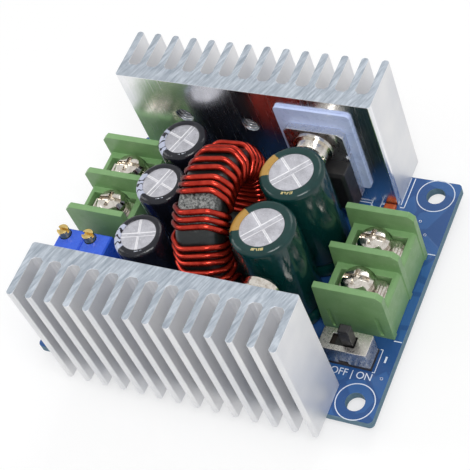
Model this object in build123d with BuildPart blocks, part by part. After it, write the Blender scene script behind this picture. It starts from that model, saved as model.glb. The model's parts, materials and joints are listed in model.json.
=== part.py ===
from build123d import *
import os
from math import cos, hypot, pi, radians, sin, sqrt

os.makedirs("parts", exist_ok=True)

# Share of a mitred corner that a diagonal cuts off
MITRE_SHARE = 2 - sqrt(2)

# Frame: origin at the centre of the board's four mounting holes, on its underside.
# X runs along the heatsinks, Y to the rear, Z up. Sizes are in millimetres and degrees.

# Circuit board; its length and width follow from the rows of parts on it
BOARD_THICKNESS = 1.6
BOARD_CORNER_RADIUS = 0.8
MOUNT_HOLE_RADIUS = 1.55
MOUNT_INSET_X = 3.7
MOUNT_INSET_Y = 3.0
LEAD_CLEARANCE = 0.12

# Flat sides that stand for small rounds
DRILL_SIDES = 6
HIDDEN_SIDES = 12
SHOWN_SIDES = 24

# Solder joints under the board, each round the end of its lead
SOLDER_RADIUS = 1.0
SOLDER_SIDES = 6
SOLDER_SLOPE = 0.5
LEAD_REACH = 1.7
LEAD_END_HEIGHT = 0.3

# Finned heatsinks
SINK_LENGTH = 45.0
SINK_HEIGHT = 25.0
SINK_DEPTH = 9.6
SINK_BASE = 2.6
SINK_FINS = 14
FIN_THICKNESS = 1.2
FIN_TIP_BEVEL = 0.3
FIN_ROOT_BEVEL = 0.5
SINK_CORNER_BEVEL = 0.3
FRONT_SINK_X = 0.44
REAR_SINK_X = -1.3
FRONT_SINK_INSET = 5.45
REAR_SINK_INSET = 6.1
TAPPED_RADIUS = 1.5
TAPPED_PITCH = 12.2
TAPPED_HEIGHT = 16.6
TAPPED_DEPTH = 2.2

# Power devices clamped to the heatsinks, measured from the tab's hole
PAD_WIDTH = 13.0
PAD_BELOW_HOLE = 12.1
PAD_ABOVE_HOLE = 6.2
PAD_THICKNESS = 0.5
PAD_CORNER = 0.8
PAD_HOLE_RADIUS = 1.9
TAB_WIDTH = 10.2
TAB_THICKNESS = 1.3
TAB_ABOVE_HOLE = 2.9
TAB_HOLE_RADIUS = 1.9
TAB_CHAMFER = 0.8
TAB_NOTCH_RADIUS = 0.5
TAB_NOTCH_BELOW_HOLE = 2.5
CASE_BELOW_HOLE = 3.5
CASE_LENGTH = 9.2
CASE_DEPTH = 4.5
CASE_CHAMFER = 0.5
LEAD_PITCH = 2.54
LEAD_WIDTH = 0.8
LEAD_THICKNESS = 0.5
LEAD_SHOULDER = 1.3
LEAD_SHOULDER_LENGTH = 2.5
LEAD_FROM_TAB = 2.35
LEAD_SINK_IN = 2.0
BUSH_FLANGE_RADIUS = 3.0
BUSH_FLANGE = 0.6
BUSH_WALL = 0.25
WASHER_RADIUS = 3.3
WASHER_THICKNESS = 0.6
SCREW_RADIUS = 1.45
SCREW_CLEARANCE = 0.1
SCREW_HEAD_RADIUS = 2.8
SCREW_HEAD_HEIGHT = 2.2
SCREW_END_GAP = 0.4

# Screw heads, with a slot across and a shorter arm
HEAD_EDGE = 0.6
SLOT_WIDTH = 0.8
SLOT_DEPTH = 1.0
SLOT_SHARE = 0.82
CROSS_SHARE = 0.55

# Terminal blocks
BLOCK_PITCH = 7.5
BLOCK_CELLS = 2
PARTITION = 1.1
PARTITION_HEIGHT = 11.5
PARTITION_FOOT = 11.9
PARTITION_LEAN = 0.7
PARTITION_CORNER = 0.9
BODY_INSET = 0.2
BODY_DEPTH = 10.5
BODY_HEIGHT = 7.4
BODY_SHOULDER = 0.7
POCKET_INSET = 1.0
POCKET_DEPTH = 8.4
POCKET_WIDTH = 4.2
SCALLOP_RADIUS = 2.95
SCALLOP_CLEARANCE = 0.3
KEY_WIDTH = 0.6
KEY_DEPTH = 0.35
KEY_HEIGHT = 4.8
KEY_LOW = 0.6
KEY_CLEARANCE = 0.1
KEY_PLACES = (1.9, 9.9)
CONTACT_TOP = 5.6
CONTACT_THICKNESS = 1.0
CONTACT_CLEARANCE = 0.1
CONTACT_HOLE_RADIUS = 1.5
PIN_WIDTH = 1.0
PIN_THICKNESS = 0.8
PIN_PLACE = 8.7
TERMINAL_SCREW_PLACE = 5.95
PLATE_THICKNESS = 0.85
PLATE_CLEARANCE = 0.2
PLATE_GAP = 0.05
PLATE_CORNER = 0.9
RIB_HEIGHT = 0.3
RIB_WIDTH = 0.35
RIB_PITCH = 0.55
RIB_COUNT = 3
SPRING_RADIUS = 2.6
SPRING_THICKNESS = 0.8
SPRING_SPLIT = 0.5
TERMINAL_HEAD_RADIUS = 2.6
TERMINAL_HEAD_HEIGHT = 2.2
TERMINAL_SHANK_RADIUS = 1.2
TERMINAL_SHANK_REACH = 5.9
WELL_CLEARANCE = 0.4
RIGHT_BLOCK_INSET = 1.3
RIGHT_BLOCK_Y = 0.15
LEFT_BLOCK_OVERHANG = 0.3
LEFT_BLOCK_Y = 6.05

# Electrolytic capacitors: can, sleeve, rubber seal and two leads each
SLEEVE_THICKNESS = 0.12
CAN_EDGE = 0.5
CAN_LOW = 1.3
SLEEVE_LOW = 0.3
SCORE_WIDTH = 0.3
SCORE_DEPTH = 0.12
LARGE_SCORE_ANGLE = 47.0
SMALL_SCORE_ANGLE = 71.0
FRONT_SCORE_ANGLE = 16.0
SMALL_CAN_RADIUS = 4.2
SMALL_CAN_HEIGHT = 17.5
SMALL_CAN_LEAD_PITCH = 3.5
SMALL_CAN_LIP = 1.3
LARGE_CAN_RADIUS = 5.2
LARGE_CAN_HEIGHT = 21.5
LARGE_CAN_LEAD_PITCH = 5.0
LARGE_CAN_LIP = 1.7
CAN_LEAD_RADIUS = 0.35
LARGE_CAN_GAP = 0.12
LARGE_CAN_SCREW_GAP = 1.385
LARGE_CAN_CASE_GAP = 0.945
LARGE_CAN_STAGGER = 0.65
LARGE_CAN_BLOCK_OVERLAP = 0.1
SMALL_CAN_BLOCK_GAP = 2.9
SMALL_CAN_COIL_GAP = 2.72
SMALL_CAN_PITCH = 9.0
SMALL_CAN_REAR_Y = 11.0
SMALL_CAN_FRONT_STEP = 10.1
SMALL_CAN_FRONT_SHIFT = 0.8

# Toroidal inductor, wound with two strands side by side
CORE_RADIUS = 11.45
CORE_BORE_RADIUS = 7.15
CORE_WIDTH = 7.2
CORE_OUTER_BEVEL = 1.6
CORE_INNER_BEVEL = 0.8
CORE_SIDES = 48
WIRE_RADIUS = 0.48
WIRE_GAP = 0.12
COIL_YAW_ANGLE = 4.0
COIL_Y = -0.2
COIL_BOARD_GAP = 0.95
COIL_LARGE_CAN_GAP = 0.87
WIRE_SIDES = 6
RIM_GROUP_ANGLES = (-18, 21, 49, 76, 96, 118, 141, 190)
RIM_GROUP_COUNTS = (4, 3, 3, 3, 2, 2, 6, 3)
RIM_STEP_ANGLES = (10, 6, 5.5, 5.5, 9, 5.5, 7.5, 10)
RIM_SLANT_ANGLE = 1.75
BORE_START_ANGLE = -8.5
BORE_STEP_ANGLE = 9.1
BORE_SLANT_ANGLE = 3.0
STRANDS = 2
LEAD_STRAIGHT = 1.0
FIRST_LEAD = 9.4
SECOND_LEAD = 7.4
SECOND_LEAD_KNEE = (7.9, -2.6)
LAST_LEADS = (-9.5, -7.0)

# Trimmers
TRIMMER_WIDTH = 4.8
TRIMMER_LENGTH = 9.5
TRIMMER_HEIGHT = 10.0
TRIMMER_GAP = 0.05
TRIMMER_INSET_X = 0.45
TRIMMER_INSET_Y = 12.75
TRIMMER_FOOT = 0.4
TRIMMER_FOOT_LENGTH = 1.0
TRIMMER_EDGE = 0.25
TRIMMER_SCREW_RADIUS = 1.0
TRIMMER_SCREW_HEIGHT = 1.5
TRIMMER_SCREW_PLACE = (-1.2, 3.45)
TRIMMER_SCREW_CLEARANCE = 0.09
TRIMMER_RECESS_DEPTH = 1.0
TRIMMER_SEAT_GAP = 0.1
TRIMMER_SLOT_WIDTH = 0.5
TRIMMER_SLOT_DEPTH = 0.7
TRIMMER_PIN_PITCH = 2.54
TRIMMER_PIN_SIZE = 0.5

# Slide switch
SWITCH_INSET_X = 7.05
SWITCH_INSET_Y = 10.4
SHELL_LENGTH = 8.1
SHELL_WIDTH = 3.8
SHELL_HEIGHT = 4.5
SHELL_WALL = 0.3
SHELL_LOW = 0.7
SHELL_NOTCH_LENGTH = 1.7
SHELL_NOTCH_HEIGHT = 0.7
SHELL_NOTCH_X = -0.4
SWITCH_SLOT_X = -0.25
SWITCH_SLOT_WIDTH = 1.9
SWITCH_TRAVEL = 2.0
LEVER_LENGTH = 1.8
LEVER_WIDTH = 1.5
LEVER_HEIGHT = 4.0
LEVER_EDGE = 0.2
LEVER_END_GAP = 0.1
SLIDER_LENGTH = 4.8
SLIDER_WIDTH = 2.7
SLIDER_THICKNESS = 0.6
SLIDER_GAP = 0.2
SWITCH_FIT = 0.05
SWITCH_PIN_PITCH = 2.5
SWITCH_PIN_SIZE = 0.5

# Indicator lamp
LAMP_LENGTH = 2.0
LAMP_WIDTH = 1.25
LAMP_HEIGHT = 0.8
LAMP_EDGE = 0.2
LAMP_INSET_X = 10.3
LAMP_INSET_Y = 6.9

# Parts soldered flat under the board
CHIP_HEIGHT = 1.3
CHIP_STAND_OFF = 0.1
CHIP_WIDTH = 3.9
CHIP_LEAD_PITCH = 1.27
CHIP_LEAD_WIDTH = 0.42
CHIP_LEAD_SPAN = 6.0
CHIP_LEAD_THICKNESS = 0.2
CHIP_LEAD_DROP = 0.6
CHIP_FOOT = 0.6
CHIP_EDGE = 0.2
CHIP_END = 0.55
CONTROLLER_LEADS = 8
CONTROLLER_FROM_COIL = (-3.8, -13.8)
AMPLIFIER_LEADS = 4
AMPLIFIER_FROM_CAN = (-5.7, -4.6)
SHUNT_SIZE = (6.3, 3.1, 0.6)
SHUNT_FROM_CAN = (-1.2, 4.6)
CHIP_RESISTOR_SIZE = (2.0, 1.25, 0.5)
CHIP_RESISTOR_FROM_COIL = (-2.3, 0.7)
CHIP_RESISTOR_PITCH = (3.2, 2.4)
CHIP_RESISTOR_COUNT = (3, 2)
CHIP_CAPACITOR_SIZE = (3.2, 1.6, 1.0)
CHIP_CAPACITOR_FROM_CAN = (6.8, 4.245)
CHIP_CAPACITOR_PITCH = (4.6, 2.6)
CHIP_CAPACITOR_COUNT = (2, 2)

# Values that follow from the driving sizes
BOARD_TOP = BOARD_THICKNESS
HEAD_SEAT = PAD_THICKNESS + TAB_THICKNESS + BUSH_FLANGE + WASHER_THICKNESS
CASE_FACE = PAD_THICKNESS + CASE_DEPTH
WIRE_LIFT = WIRE_GAP + WIRE_RADIUS
WIRE_SIDE = CORE_WIDTH / 2 + WIRE_LIFT
COIL_HALF_WIDTH = WIRE_SIDE + WIRE_RADIUS
LEFT_ROW = PARTITION_FOOT - LEFT_BLOCK_OVERHANG + SMALL_CAN_BLOCK_GAP + 2 * SMALL_CAN_RADIUS + SMALL_CAN_COIL_GAP
CAN_ROW = COIL_LARGE_CAN_GAP + LARGE_CAN_STAGGER + 2 * LARGE_CAN_RADIUS
RIGHT_ROW = CAN_ROW - LARGE_CAN_BLOCK_OVERLAP + PARTITION_FOOT + RIGHT_BLOCK_INSET
BOARD_LENGTH = LEFT_ROW + 2 * COIL_HALF_WIDTH + RIGHT_ROW
FRONT_ROW = FRONT_SINK_INSET + HEAD_SEAT + SCREW_HEAD_HEIGHT + LARGE_CAN_SCREW_GAP
REAR_ROW = REAR_SINK_INSET + CASE_FACE + LARGE_CAN_CASE_GAP
BOARD_WIDTH = FRONT_ROW + 4 * LARGE_CAN_RADIUS + LARGE_CAN_GAP + REAR_ROW
RIGHT_EDGE = BOARD_LENGTH / 2
REAR_EDGE = BOARD_WIDTH / 2
MOUNT_SPAN_X = BOARD_LENGTH - 2 * MOUNT_INSET_X
MOUNT_SPAN_Y = BOARD_WIDTH - 2 * MOUNT_INSET_Y
FRONT_FACE_Y = FRONT_SINK_INSET - REAR_EDGE
REAR_FACE_Y = REAR_EDGE - REAR_SINK_INSET
FIN_PITCH = (SINK_LENGTH - FIN_THICKNESS) / (SINK_FINS - 1)
FIN_GAP = FIN_PITCH - FIN_THICKNESS
CASE_HIGH = TAPPED_HEIGHT - CASE_BELOW_HOLE
CASE_LOW = CASE_HIGH - CASE_LENGTH
BLOCK_LENGTH = BLOCK_CELLS * BLOCK_PITCH + PARTITION
RIGHT_BLOCK_X = RIGHT_EDGE - RIGHT_BLOCK_INSET
LEFT_BLOCK_X = -RIGHT_EDGE - LEFT_BLOCK_OVERHANG
PLATE_LOW = CONTACT_TOP + PLATE_GAP
PLATE_TOP = PLATE_LOW + PLATE_THICKNESS
TERMINAL_HEAD_LOW = PLATE_TOP + SPRING_THICKNESS
WIRE_RIM = CORE_RADIUS + WIRE_LIFT
WIRE_BORE = CORE_BORE_RADIUS - WIRE_LIFT
WIRE_BEND_OUTER = CORE_OUTER_BEVEL + MITRE_SHARE * WIRE_LIFT
WIRE_BEND_INNER = CORE_INNER_BEVEL + MITRE_SHARE * WIRE_LIFT
COIL_X = LEFT_ROW + COIL_HALF_WIDTH - RIGHT_EDGE
COIL_Z = BOARD_TOP + COIL_BOARD_GAP + WIRE_RIM + WIRE_RADIUS
SMALL_CAN_X = COIL_X - COIL_HALF_WIDTH - SMALL_CAN_COIL_GAP - SMALL_CAN_RADIUS
LARGE_CAN_X = COIL_X + COIL_HALF_WIDTH + CAN_ROW - LARGE_CAN_RADIUS
REAR_CAN_Y = REAR_EDGE - REAR_ROW - LARGE_CAN_RADIUS
FRONT_CAN_Y = FRONT_ROW + LARGE_CAN_RADIUS - REAR_EDGE
SWITCH_X = RIGHT_EDGE - SWITCH_INSET_X
SWITCH_Y = SWITCH_INSET_Y - REAR_EDGE
LAMP_X = RIGHT_EDGE - LAMP_INSET_X
LAMP_Y = REAR_EDGE - LAMP_INSET_Y


def export(builder, name):
    """Label a finished piece and write it under its name."""
    builder.part.label = name
    export_step(builder.part, f"parts/{name}.step")


def level(x, y, z):
    """Level plane over a point of the board."""
    return Plane(origin=(x, y, z))


def round_lead_radius(radius):
    """Radius of the drilled hole round a round lead."""
    return (radius + LEAD_CLEARANCE) / cos(pi / DRILL_SIDES)


def flat_lead_radius(width, thickness):
    """Radius of the drilled hole round a rectangular lead."""
    return round_lead_radius(hypot(width, thickness) / 2)


# Circuit board

def covered_hole(radius):
    """Hole of flat sides round a radius, where another piece covers it."""
    RegularPolygon(radius, HIDDEN_SIDES, major_radius=False, mode=Mode.SUBTRACT)


def circuit_board(holes):
    """Board with its mounting holes and the drilled holes, given as (points, radius)."""
    with BuildPart() as board:
        with BuildSketch(Plane.XY):
            RectangleRounded(BOARD_LENGTH, BOARD_WIDTH, BOARD_CORNER_RADIUS)
            with GridLocations(MOUNT_SPAN_X, MOUNT_SPAN_Y, 2, 2):
                Circle(MOUNT_HOLE_RADIUS, mode=Mode.SUBTRACT)
            for points, radius in holes:
                with Locations(*points):
                    RegularPolygon(radius, DRILL_SIDES, mode=Mode.SUBTRACT)
        extrude(amount=BOARD_THICKNESS)
    export(board, "circuit_board")


def solder_joints(holes):
    """A steep cone of solder up to the cut end of its lead, under each drilled hole."""
    with BuildPart() as joint:
        with BuildSketch():
            RegularPolygon(SOLDER_RADIUS, SOLDER_SIDES)
        extrude(amount=-LEAD_REACH)
        chamfer(joint.edges().group_by(Axis.Z)[0], LEAD_REACH - LEAD_END_HEIGHT, SOLDER_SLOPE)
    with BuildPart() as joints:
        with Locations(*[point for points, _ in holes for point in points]):
            add(joint.part)
    export(joints, "solder_joints")


# Heatsinks

def heatsink(name, centre_x, face_y, side):
    """Extruded heatsink: base towards the board's middle, fins outwards, three tapped holes."""
    middle_y = face_y + side * SINK_DEPTH / 2
    slot_y = face_y + side * (SINK_BASE + SINK_DEPTH / 2)
    with BuildPart() as sink:
        with BuildSketch(Plane.XY.offset(BOARD_TOP)) as section:
            with Locations((centre_x, middle_y)):
                Rectangle(SINK_LENGTH, SINK_DEPTH)
            with Locations((centre_x, slot_y)):
                with GridLocations(FIN_PITCH, FIN_PITCH, SINK_FINS - 1, 1):
                    Rectangle(FIN_GAP, SINK_DEPTH, mode=Mode.SUBTRACT)
            corners, roots, tips = section.vertices().group_by(Axis.Y)[::side]
            chamfer(tips, FIN_TIP_BEVEL)
            chamfer(roots, FIN_ROOT_BEVEL)
            chamfer(corners, SINK_CORNER_BEVEL)
        extrude(amount=SINK_HEIGHT)
        with BuildSketch(*[device_plane(centre_x + step * TAPPED_PITCH, face_y, side) for step in (-1, 0, 1)]):
            RegularPolygon(TAPPED_RADIUS, HIDDEN_SIDES)
        extrude(amount=-TAPPED_DEPTH, mode=Mode.SUBTRACT)
    export(sink, name)


def device_plane(x, face_y, side, offset=0.0):
    """Plane at a tapped hole, Y up and Z off the heatsink's face."""
    origin = (x, face_y - side * offset, BOARD_TOP + TAPPED_HEIGHT)
    return Plane(origin=origin, x_dir=(side, 0, 0), z_dir=(0, -side, 0))


# Power devices

def insulating_pad(name, x, face_y, side):
    """Soft pad between the heatsink and the tab."""
    with BuildPart() as pad:
        with BuildSketch(device_plane(x, face_y, side)):
            with Locations((0, (PAD_ABOVE_HOLE - PAD_BELOW_HOLE) / 2)):
                RectangleRounded(PAD_WIDTH, PAD_ABOVE_HOLE + PAD_BELOW_HOLE, PAD_CORNER)
            covered_hole(PAD_HOLE_RADIUS)
        extrude(amount=PAD_THICKNESS)
    export(pad, name)


def lead_frame(name, x, face_y, side):
    """Tab with the middle lead bent out of it, and the two outer leads."""
    low = CASE_LOW - TAPPED_HEIGHT
    board_low = -TAPPED_HEIGHT - BOARD_THICKNESS
    shoulder = LEAD_SHOULDER_LENGTH
    lead_front = PAD_THICKNESS + LEAD_FROM_TAB
    with BuildPart() as frame:
        with BuildSketch(device_plane(x, face_y, side, PAD_THICKNESS)) as tab:
            with Locations((0, (TAB_ABOVE_HOLE + low) / 2)):
                Rectangle(TAB_WIDTH, TAB_ABOVE_HOLE - low)
            chamfer(tab.vertices().group_by(Axis.Y)[-1], TAB_CHAMFER)
            covered_hole(TAB_HOLE_RADIUS)
            with Locations(*[(s * TAB_WIDTH / 2, -TAB_NOTCH_BELOW_HOLE) for s in (-1, 1)]):
                RegularPolygon(TAB_NOTCH_RADIUS, DRILL_SIDES, mode=Mode.SUBTRACT)
        extrude(amount=TAB_THICKNESS)
        with BuildSketch(device_plane(x, face_y, side, lead_front)):
            for step in (-1, 0, 1):
                with Locations((step * LEAD_PITCH, (low + LEAD_SINK_IN + board_low) / 2)):
                    Rectangle(LEAD_WIDTH, low + LEAD_SINK_IN - board_low)
                with Locations((step * LEAD_PITCH, low + (LEAD_SINK_IN - shoulder) / 2)):
                    Rectangle(LEAD_SHOULDER, LEAD_SINK_IN + shoulder)
        extrude(amount=LEAD_THICKNESS)
        with BuildSketch(device_plane(x, face_y, side, PAD_THICKNESS + TAB_THICKNESS)):
            with Locations((0, low + LEAD_SINK_IN - LEAD_THICKNESS / 2)):
                Rectangle(LEAD_SHOULDER, LEAD_THICKNESS)
        extrude(amount=LEAD_FROM_TAB - TAB_THICKNESS)
    export(frame, name)
    return frame.part


def device_case(name, x, face_y, side, frame):
    """Moulded case round the leads and over the lower part of the tab."""
    with BuildPart() as case:
        with BuildSketch(device_plane(x, face_y, side, PAD_THICKNESS)):
            with Locations((0, -CASE_BELOW_HOLE - CASE_LENGTH / 2)):
                Rectangle(TAB_WIDTH, CASE_LENGTH)
        extrude(amount=CASE_DEPTH)
        front = case.faces().sort_by(Axis.Y)[0 if side > 0 else -1]
        chamfer(front.edges(), CASE_CHAMFER)
        add(frame, mode=Mode.SUBTRACT)
    export(case, name)


def device_lead_points(x, face_y, side):
    """Where the three leads of a device pass through the board."""
    y = face_y - side * (PAD_THICKNESS + LEAD_FROM_TAB + LEAD_THICKNESS / 2)
    return [(x + step * LEAD_PITCH, y) for step in (-1, 0, 1)]


def screw_recess(radius, depth):
    """Slot and shorter cross arm, cut down into a head from the active plane's top."""
    for width, length in ((SLOT_WIDTH, 2 * radius * CROSS_SHARE), (2 * radius * SLOT_SHARE, SLOT_WIDTH)):
        Box(width, length, depth, align=(Align.CENTER, Align.CENTER, Align.MAX), mode=Mode.SUBTRACT)


def pan_head(head_radius, head_height, shank_radius, shank_length):
    """Screw standing on its plane: head above it, shank below."""
    with BuildPart() as screw:
        with BuildSketch():
            Circle(head_radius)
        extrude(amount=head_height)
        chamfer(screw.edges().group_by(Axis.Z)[-1], HEAD_EDGE)
        with BuildSketch():
            RegularPolygon(shank_radius, HIDDEN_SIDES)
        extrude(amount=-shank_length)
        with Locations((0, 0, head_height)):
            screw_recess(head_radius, SLOT_DEPTH)
    return screw.part


def device_fasteners(planes):
    """Insulating bush, flat washer and pan head screw of both devices."""
    sleeve_radius = SCREW_RADIUS + SCREW_CLEARANCE + BUSH_WALL
    bore = SCREW_RADIUS + SCREW_CLEARANCE
    shank = HEAD_SEAT + TAPPED_DEPTH - SCREW_END_GAP
    screw = pan_head(SCREW_HEAD_RADIUS, SCREW_HEAD_HEIGHT, SCREW_RADIUS, shank)
    with BuildPart() as bushes:
        for plane in planes:
            with BuildSketch(plane.offset(PAD_THICKNESS)):
                RegularPolygon(sleeve_radius, HIDDEN_SIDES)
                covered_hole(bore)
            extrude(amount=TAB_THICKNESS)
            with BuildSketch(plane.offset(PAD_THICKNESS + TAB_THICKNESS)):
                RegularPolygon(BUSH_FLANGE_RADIUS, SHOWN_SIDES)
                covered_hole(bore)
            extrude(amount=BUSH_FLANGE)
    export(bushes, "device_bushes")
    with BuildPart() as washers:
        for plane in planes:
            with BuildSketch(plane.offset(HEAD_SEAT - WASHER_THICKNESS)):
                RegularPolygon(WASHER_RADIUS, SHOWN_SIDES)
                covered_hole(bore)
            extrude(amount=WASHER_THICKNESS)
    export(washers, "device_washers")
    with BuildPart() as screws:
        with Locations(*[plane.offset(HEAD_SEAT) for plane in planes]):
            add(screw)
    export(screws, "device_screws")


# Terminal blocks

def block_plane(edge_x, middle_y, side, height=0.0):
    """Plane at a block's wire side, X inwards to the middle of the board."""
    return Plane(origin=(edge_x, middle_y, BOARD_TOP + height), x_dir=(-side, 0, 0), z_dir=(0, 0, 1))


def cell_places():
    """Middle of each cell along the block."""
    return [(cell - (BLOCK_CELLS - 1) / 2) * BLOCK_PITCH for cell in range(BLOCK_CELLS)]


def partition_places():
    """Middle of each partition along the block."""
    return [(wall - BLOCK_CELLS / 2) * BLOCK_PITCH for wall in range(BLOCK_CELLS + 1)]


def terminal_housing(name, edge_x, middle_y, side):
    """Moulded barrier block: partitions, pocketed body, wells for the screws and end keys."""
    floor = block_plane(edge_x, middle_y, side)
    profile = Plane(origin=floor.origin, x_dir=floor.x_dir, z_dir=-floor.y_dir)
    pocket_x = BODY_INSET + POCKET_INSET + POCKET_DEPTH / 2
    pocket_low = CONTACT_TOP - CONTACT_THICKNESS
    well_low = TERMINAL_HEAD_LOW - TERMINAL_SHANK_REACH - WELL_CLEARANCE
    tongue = KEY_DEPTH - KEY_CLEARANCE
    with BuildPart() as housing:
        for place in partition_places():
            with BuildSketch(profile.offset(-place - PARTITION / 2)):
                with BuildLine():
                    Polyline((0, 0), (PARTITION_FOOT, 0), (PARTITION_FOOT - PARTITION_LEAN, PARTITION_HEIGHT),
                             (PARTITION_CORNER, PARTITION_HEIGHT), (0, PARTITION_HEIGHT - PARTITION_CORNER),
                             (0, 0))
                make_face()
            extrude(amount=PARTITION)
        with BuildSketch(profile.offset(-BLOCK_LENGTH / 2)) as body:
            with Locations((BODY_INSET + BODY_DEPTH / 2, BODY_HEIGHT / 2)):
                Rectangle(BODY_DEPTH, BODY_HEIGHT)
            fillet(body.vertices().group_by(Axis.Y)[-1].sort_by(Axis.X)[0], BODY_SHOULDER)
        extrude(amount=BLOCK_LENGTH)
        with BuildSketch(floor.offset(BODY_HEIGHT)):
            with Locations(*[(pocket_x, place) for place in cell_places()]):
                Rectangle(POCKET_DEPTH, POCKET_WIDTH)
        extrude(amount=pocket_low - BODY_HEIGHT, mode=Mode.SUBTRACT)
        with BuildSketch(floor.offset(BODY_HEIGHT)):
            with Locations(*[(TERMINAL_SCREW_PLACE, place) for place in cell_places()]):
                RegularPolygon(SCALLOP_RADIUS, SHOWN_SIDES)
        extrude(amount=PLATE_TOP - SCALLOP_CLEARANCE - BODY_HEIGHT, mode=Mode.SUBTRACT)
        with BuildSketch(floor.offset(pocket_low)):
            with Locations(*[(TERMINAL_SCREW_PLACE, place) for place in cell_places()]):
                RegularPolygon(CONTACT_HOLE_RADIUS, HIDDEN_SIDES, major_radius=False)
        extrude(amount=well_low - pocket_low, mode=Mode.SUBTRACT)
        with BuildSketch(floor):
            with Locations(*[(PIN_PLACE, place) for place in cell_places()]):
                Rectangle(PIN_THICKNESS + 2 * CONTACT_CLEARANCE, PIN_WIDTH + 2 * CONTACT_CLEARANCE)
        extrude(amount=pocket_low, mode=Mode.SUBTRACT)
        with BuildSketch(floor.offset(KEY_LOW)):
            with Locations(*[(place, BLOCK_LENGTH / 2 - KEY_DEPTH / 2) for place in KEY_PLACES]):
                Rectangle(KEY_WIDTH, KEY_DEPTH)
        extrude(amount=KEY_HEIGHT, mode=Mode.SUBTRACT)
        with BuildSketch(floor.offset(KEY_LOW)):
            with Locations(*[(place, -BLOCK_LENGTH / 2 - tongue / 2) for place in KEY_PLACES]):
                Rectangle(KEY_WIDTH - 2 * KEY_CLEARANCE, tongue)
        extrude(amount=KEY_HEIGHT)
    export(housing, name)


def terminal_contacts(name, edge_x, middle_y, side):
    """Contact plates at the pockets' floors, each with its solder pin."""
    pocket_x = BODY_INSET + POCKET_INSET + POCKET_DEPTH / 2
    low = CONTACT_TOP - CONTACT_THICKNESS
    with BuildPart() as contacts:
        with BuildSketch(block_plane(edge_x, middle_y, side, low)):
            with Locations(*[(pocket_x, place) for place in cell_places()]):
                Rectangle(POCKET_DEPTH - 2 * CONTACT_CLEARANCE, POCKET_WIDTH - 2 * CONTACT_CLEARANCE)
            with Locations(*[(TERMINAL_SCREW_PLACE, place) for place in cell_places()]):
                covered_hole(CONTACT_HOLE_RADIUS)
        extrude(amount=CONTACT_THICKNESS)
        with BuildSketch(block_plane(edge_x, middle_y, side, low)):
            with Locations(*[(PIN_PLACE, place) for place in cell_places()]):
                Rectangle(PIN_THICKNESS, PIN_WIDTH)
        extrude(amount=-low - BOARD_THICKNESS)
    export(contacts, name)


def terminal_pin_points(edge_x, middle_y, side):
    """Where the pins of a block pass through the board."""
    return [(edge_x - side * PIN_PLACE, middle_y - side * place) for place in cell_places()]


def clamp_plate(name, edge_x, middle_y, side, place):
    """Wire clamp: plate with cut corners and ribs on its wire side."""
    length = POCKET_DEPTH - 2 * PLATE_CLEARANCE
    width = POCKET_WIDTH - 2 * PLATE_CLEARANCE
    start = BODY_INSET + POCKET_INSET + PLATE_CLEARANCE
    wire_end = [start + RIB_PITCH * (rib + 1) for rib in range(RIB_COUNT)]
    with BuildPart() as plate:
        with BuildSketch(block_plane(edge_x, middle_y, side, PLATE_LOW)) as outline:
            with Locations((start + length / 2, place)):
                Rectangle(length, width)
            chamfer(outline.vertices().group_by(Axis.X)[0], PLATE_CORNER)
            with Locations((TERMINAL_SCREW_PLACE, place)):
                covered_hole(CONTACT_HOLE_RADIUS)
        extrude(amount=PLATE_THICKNESS)
        with BuildSketch(block_plane(edge_x, middle_y, side, PLATE_TOP)):
            with Locations(*[(rib, place) for rib in wire_end]):
                Rectangle(RIB_WIDTH, width - 2 * RIB_PITCH)
        extrude(amount=RIB_HEIGHT)
    export(plate, name)


def spring_washer(name, edge_x, middle_y, side, place):
    """Split ring under the screw's head."""
    with BuildPart() as washer:
        with BuildSketch(block_plane(edge_x, middle_y, side, PLATE_TOP)):
            with Locations((TERMINAL_SCREW_PLACE, place)):
                RegularPolygon(SPRING_RADIUS, SHOWN_SIDES)
                covered_hole(CONTACT_HOLE_RADIUS)
                Rectangle(SPRING_SPLIT, 2 * SPRING_RADIUS, align=(Align.CENTER, Align.MIN), mode=Mode.SUBTRACT)
        extrude(amount=SPRING_THICKNESS)
    export(washer, name)


def terminal_screw(name, edge_x, middle_y, side, place):
    """Terminal screw with its shank through the clamp and the contact."""
    seat = block_plane(edge_x, middle_y, side, TERMINAL_HEAD_LOW)
    screw = pan_head(TERMINAL_HEAD_RADIUS, TERMINAL_HEAD_HEIGHT, TERMINAL_SHANK_RADIUS, TERMINAL_SHANK_REACH)
    with BuildPart() as terminal:
        with Locations(seat.location * Location((TERMINAL_SCREW_PLACE, place, 0))):
            add(screw)
    export(terminal, name)


def terminal_block(row, edge_x, middle_y, side):
    """All pieces of one block, its terminals numbered from the front."""
    terminal_housing(f"{row}_terminal_housing", edge_x, middle_y, side)
    terminal_contacts(f"{row}_terminal_contacts", edge_x, middle_y, side)
    for number, place in enumerate(sorted(cell_places(), key=lambda value: -side * value), start=1):
        clamp_plate(f"{row}_clamp_plate_{number}", edge_x, middle_y, side, place)
        spring_washer(f"{row}_spring_washer_{number}", edge_x, middle_y, side, place)
        terminal_screw(f"{row}_terminal_screw_{number}", edge_x, middle_y, side, place)


# Capacitors

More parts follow.
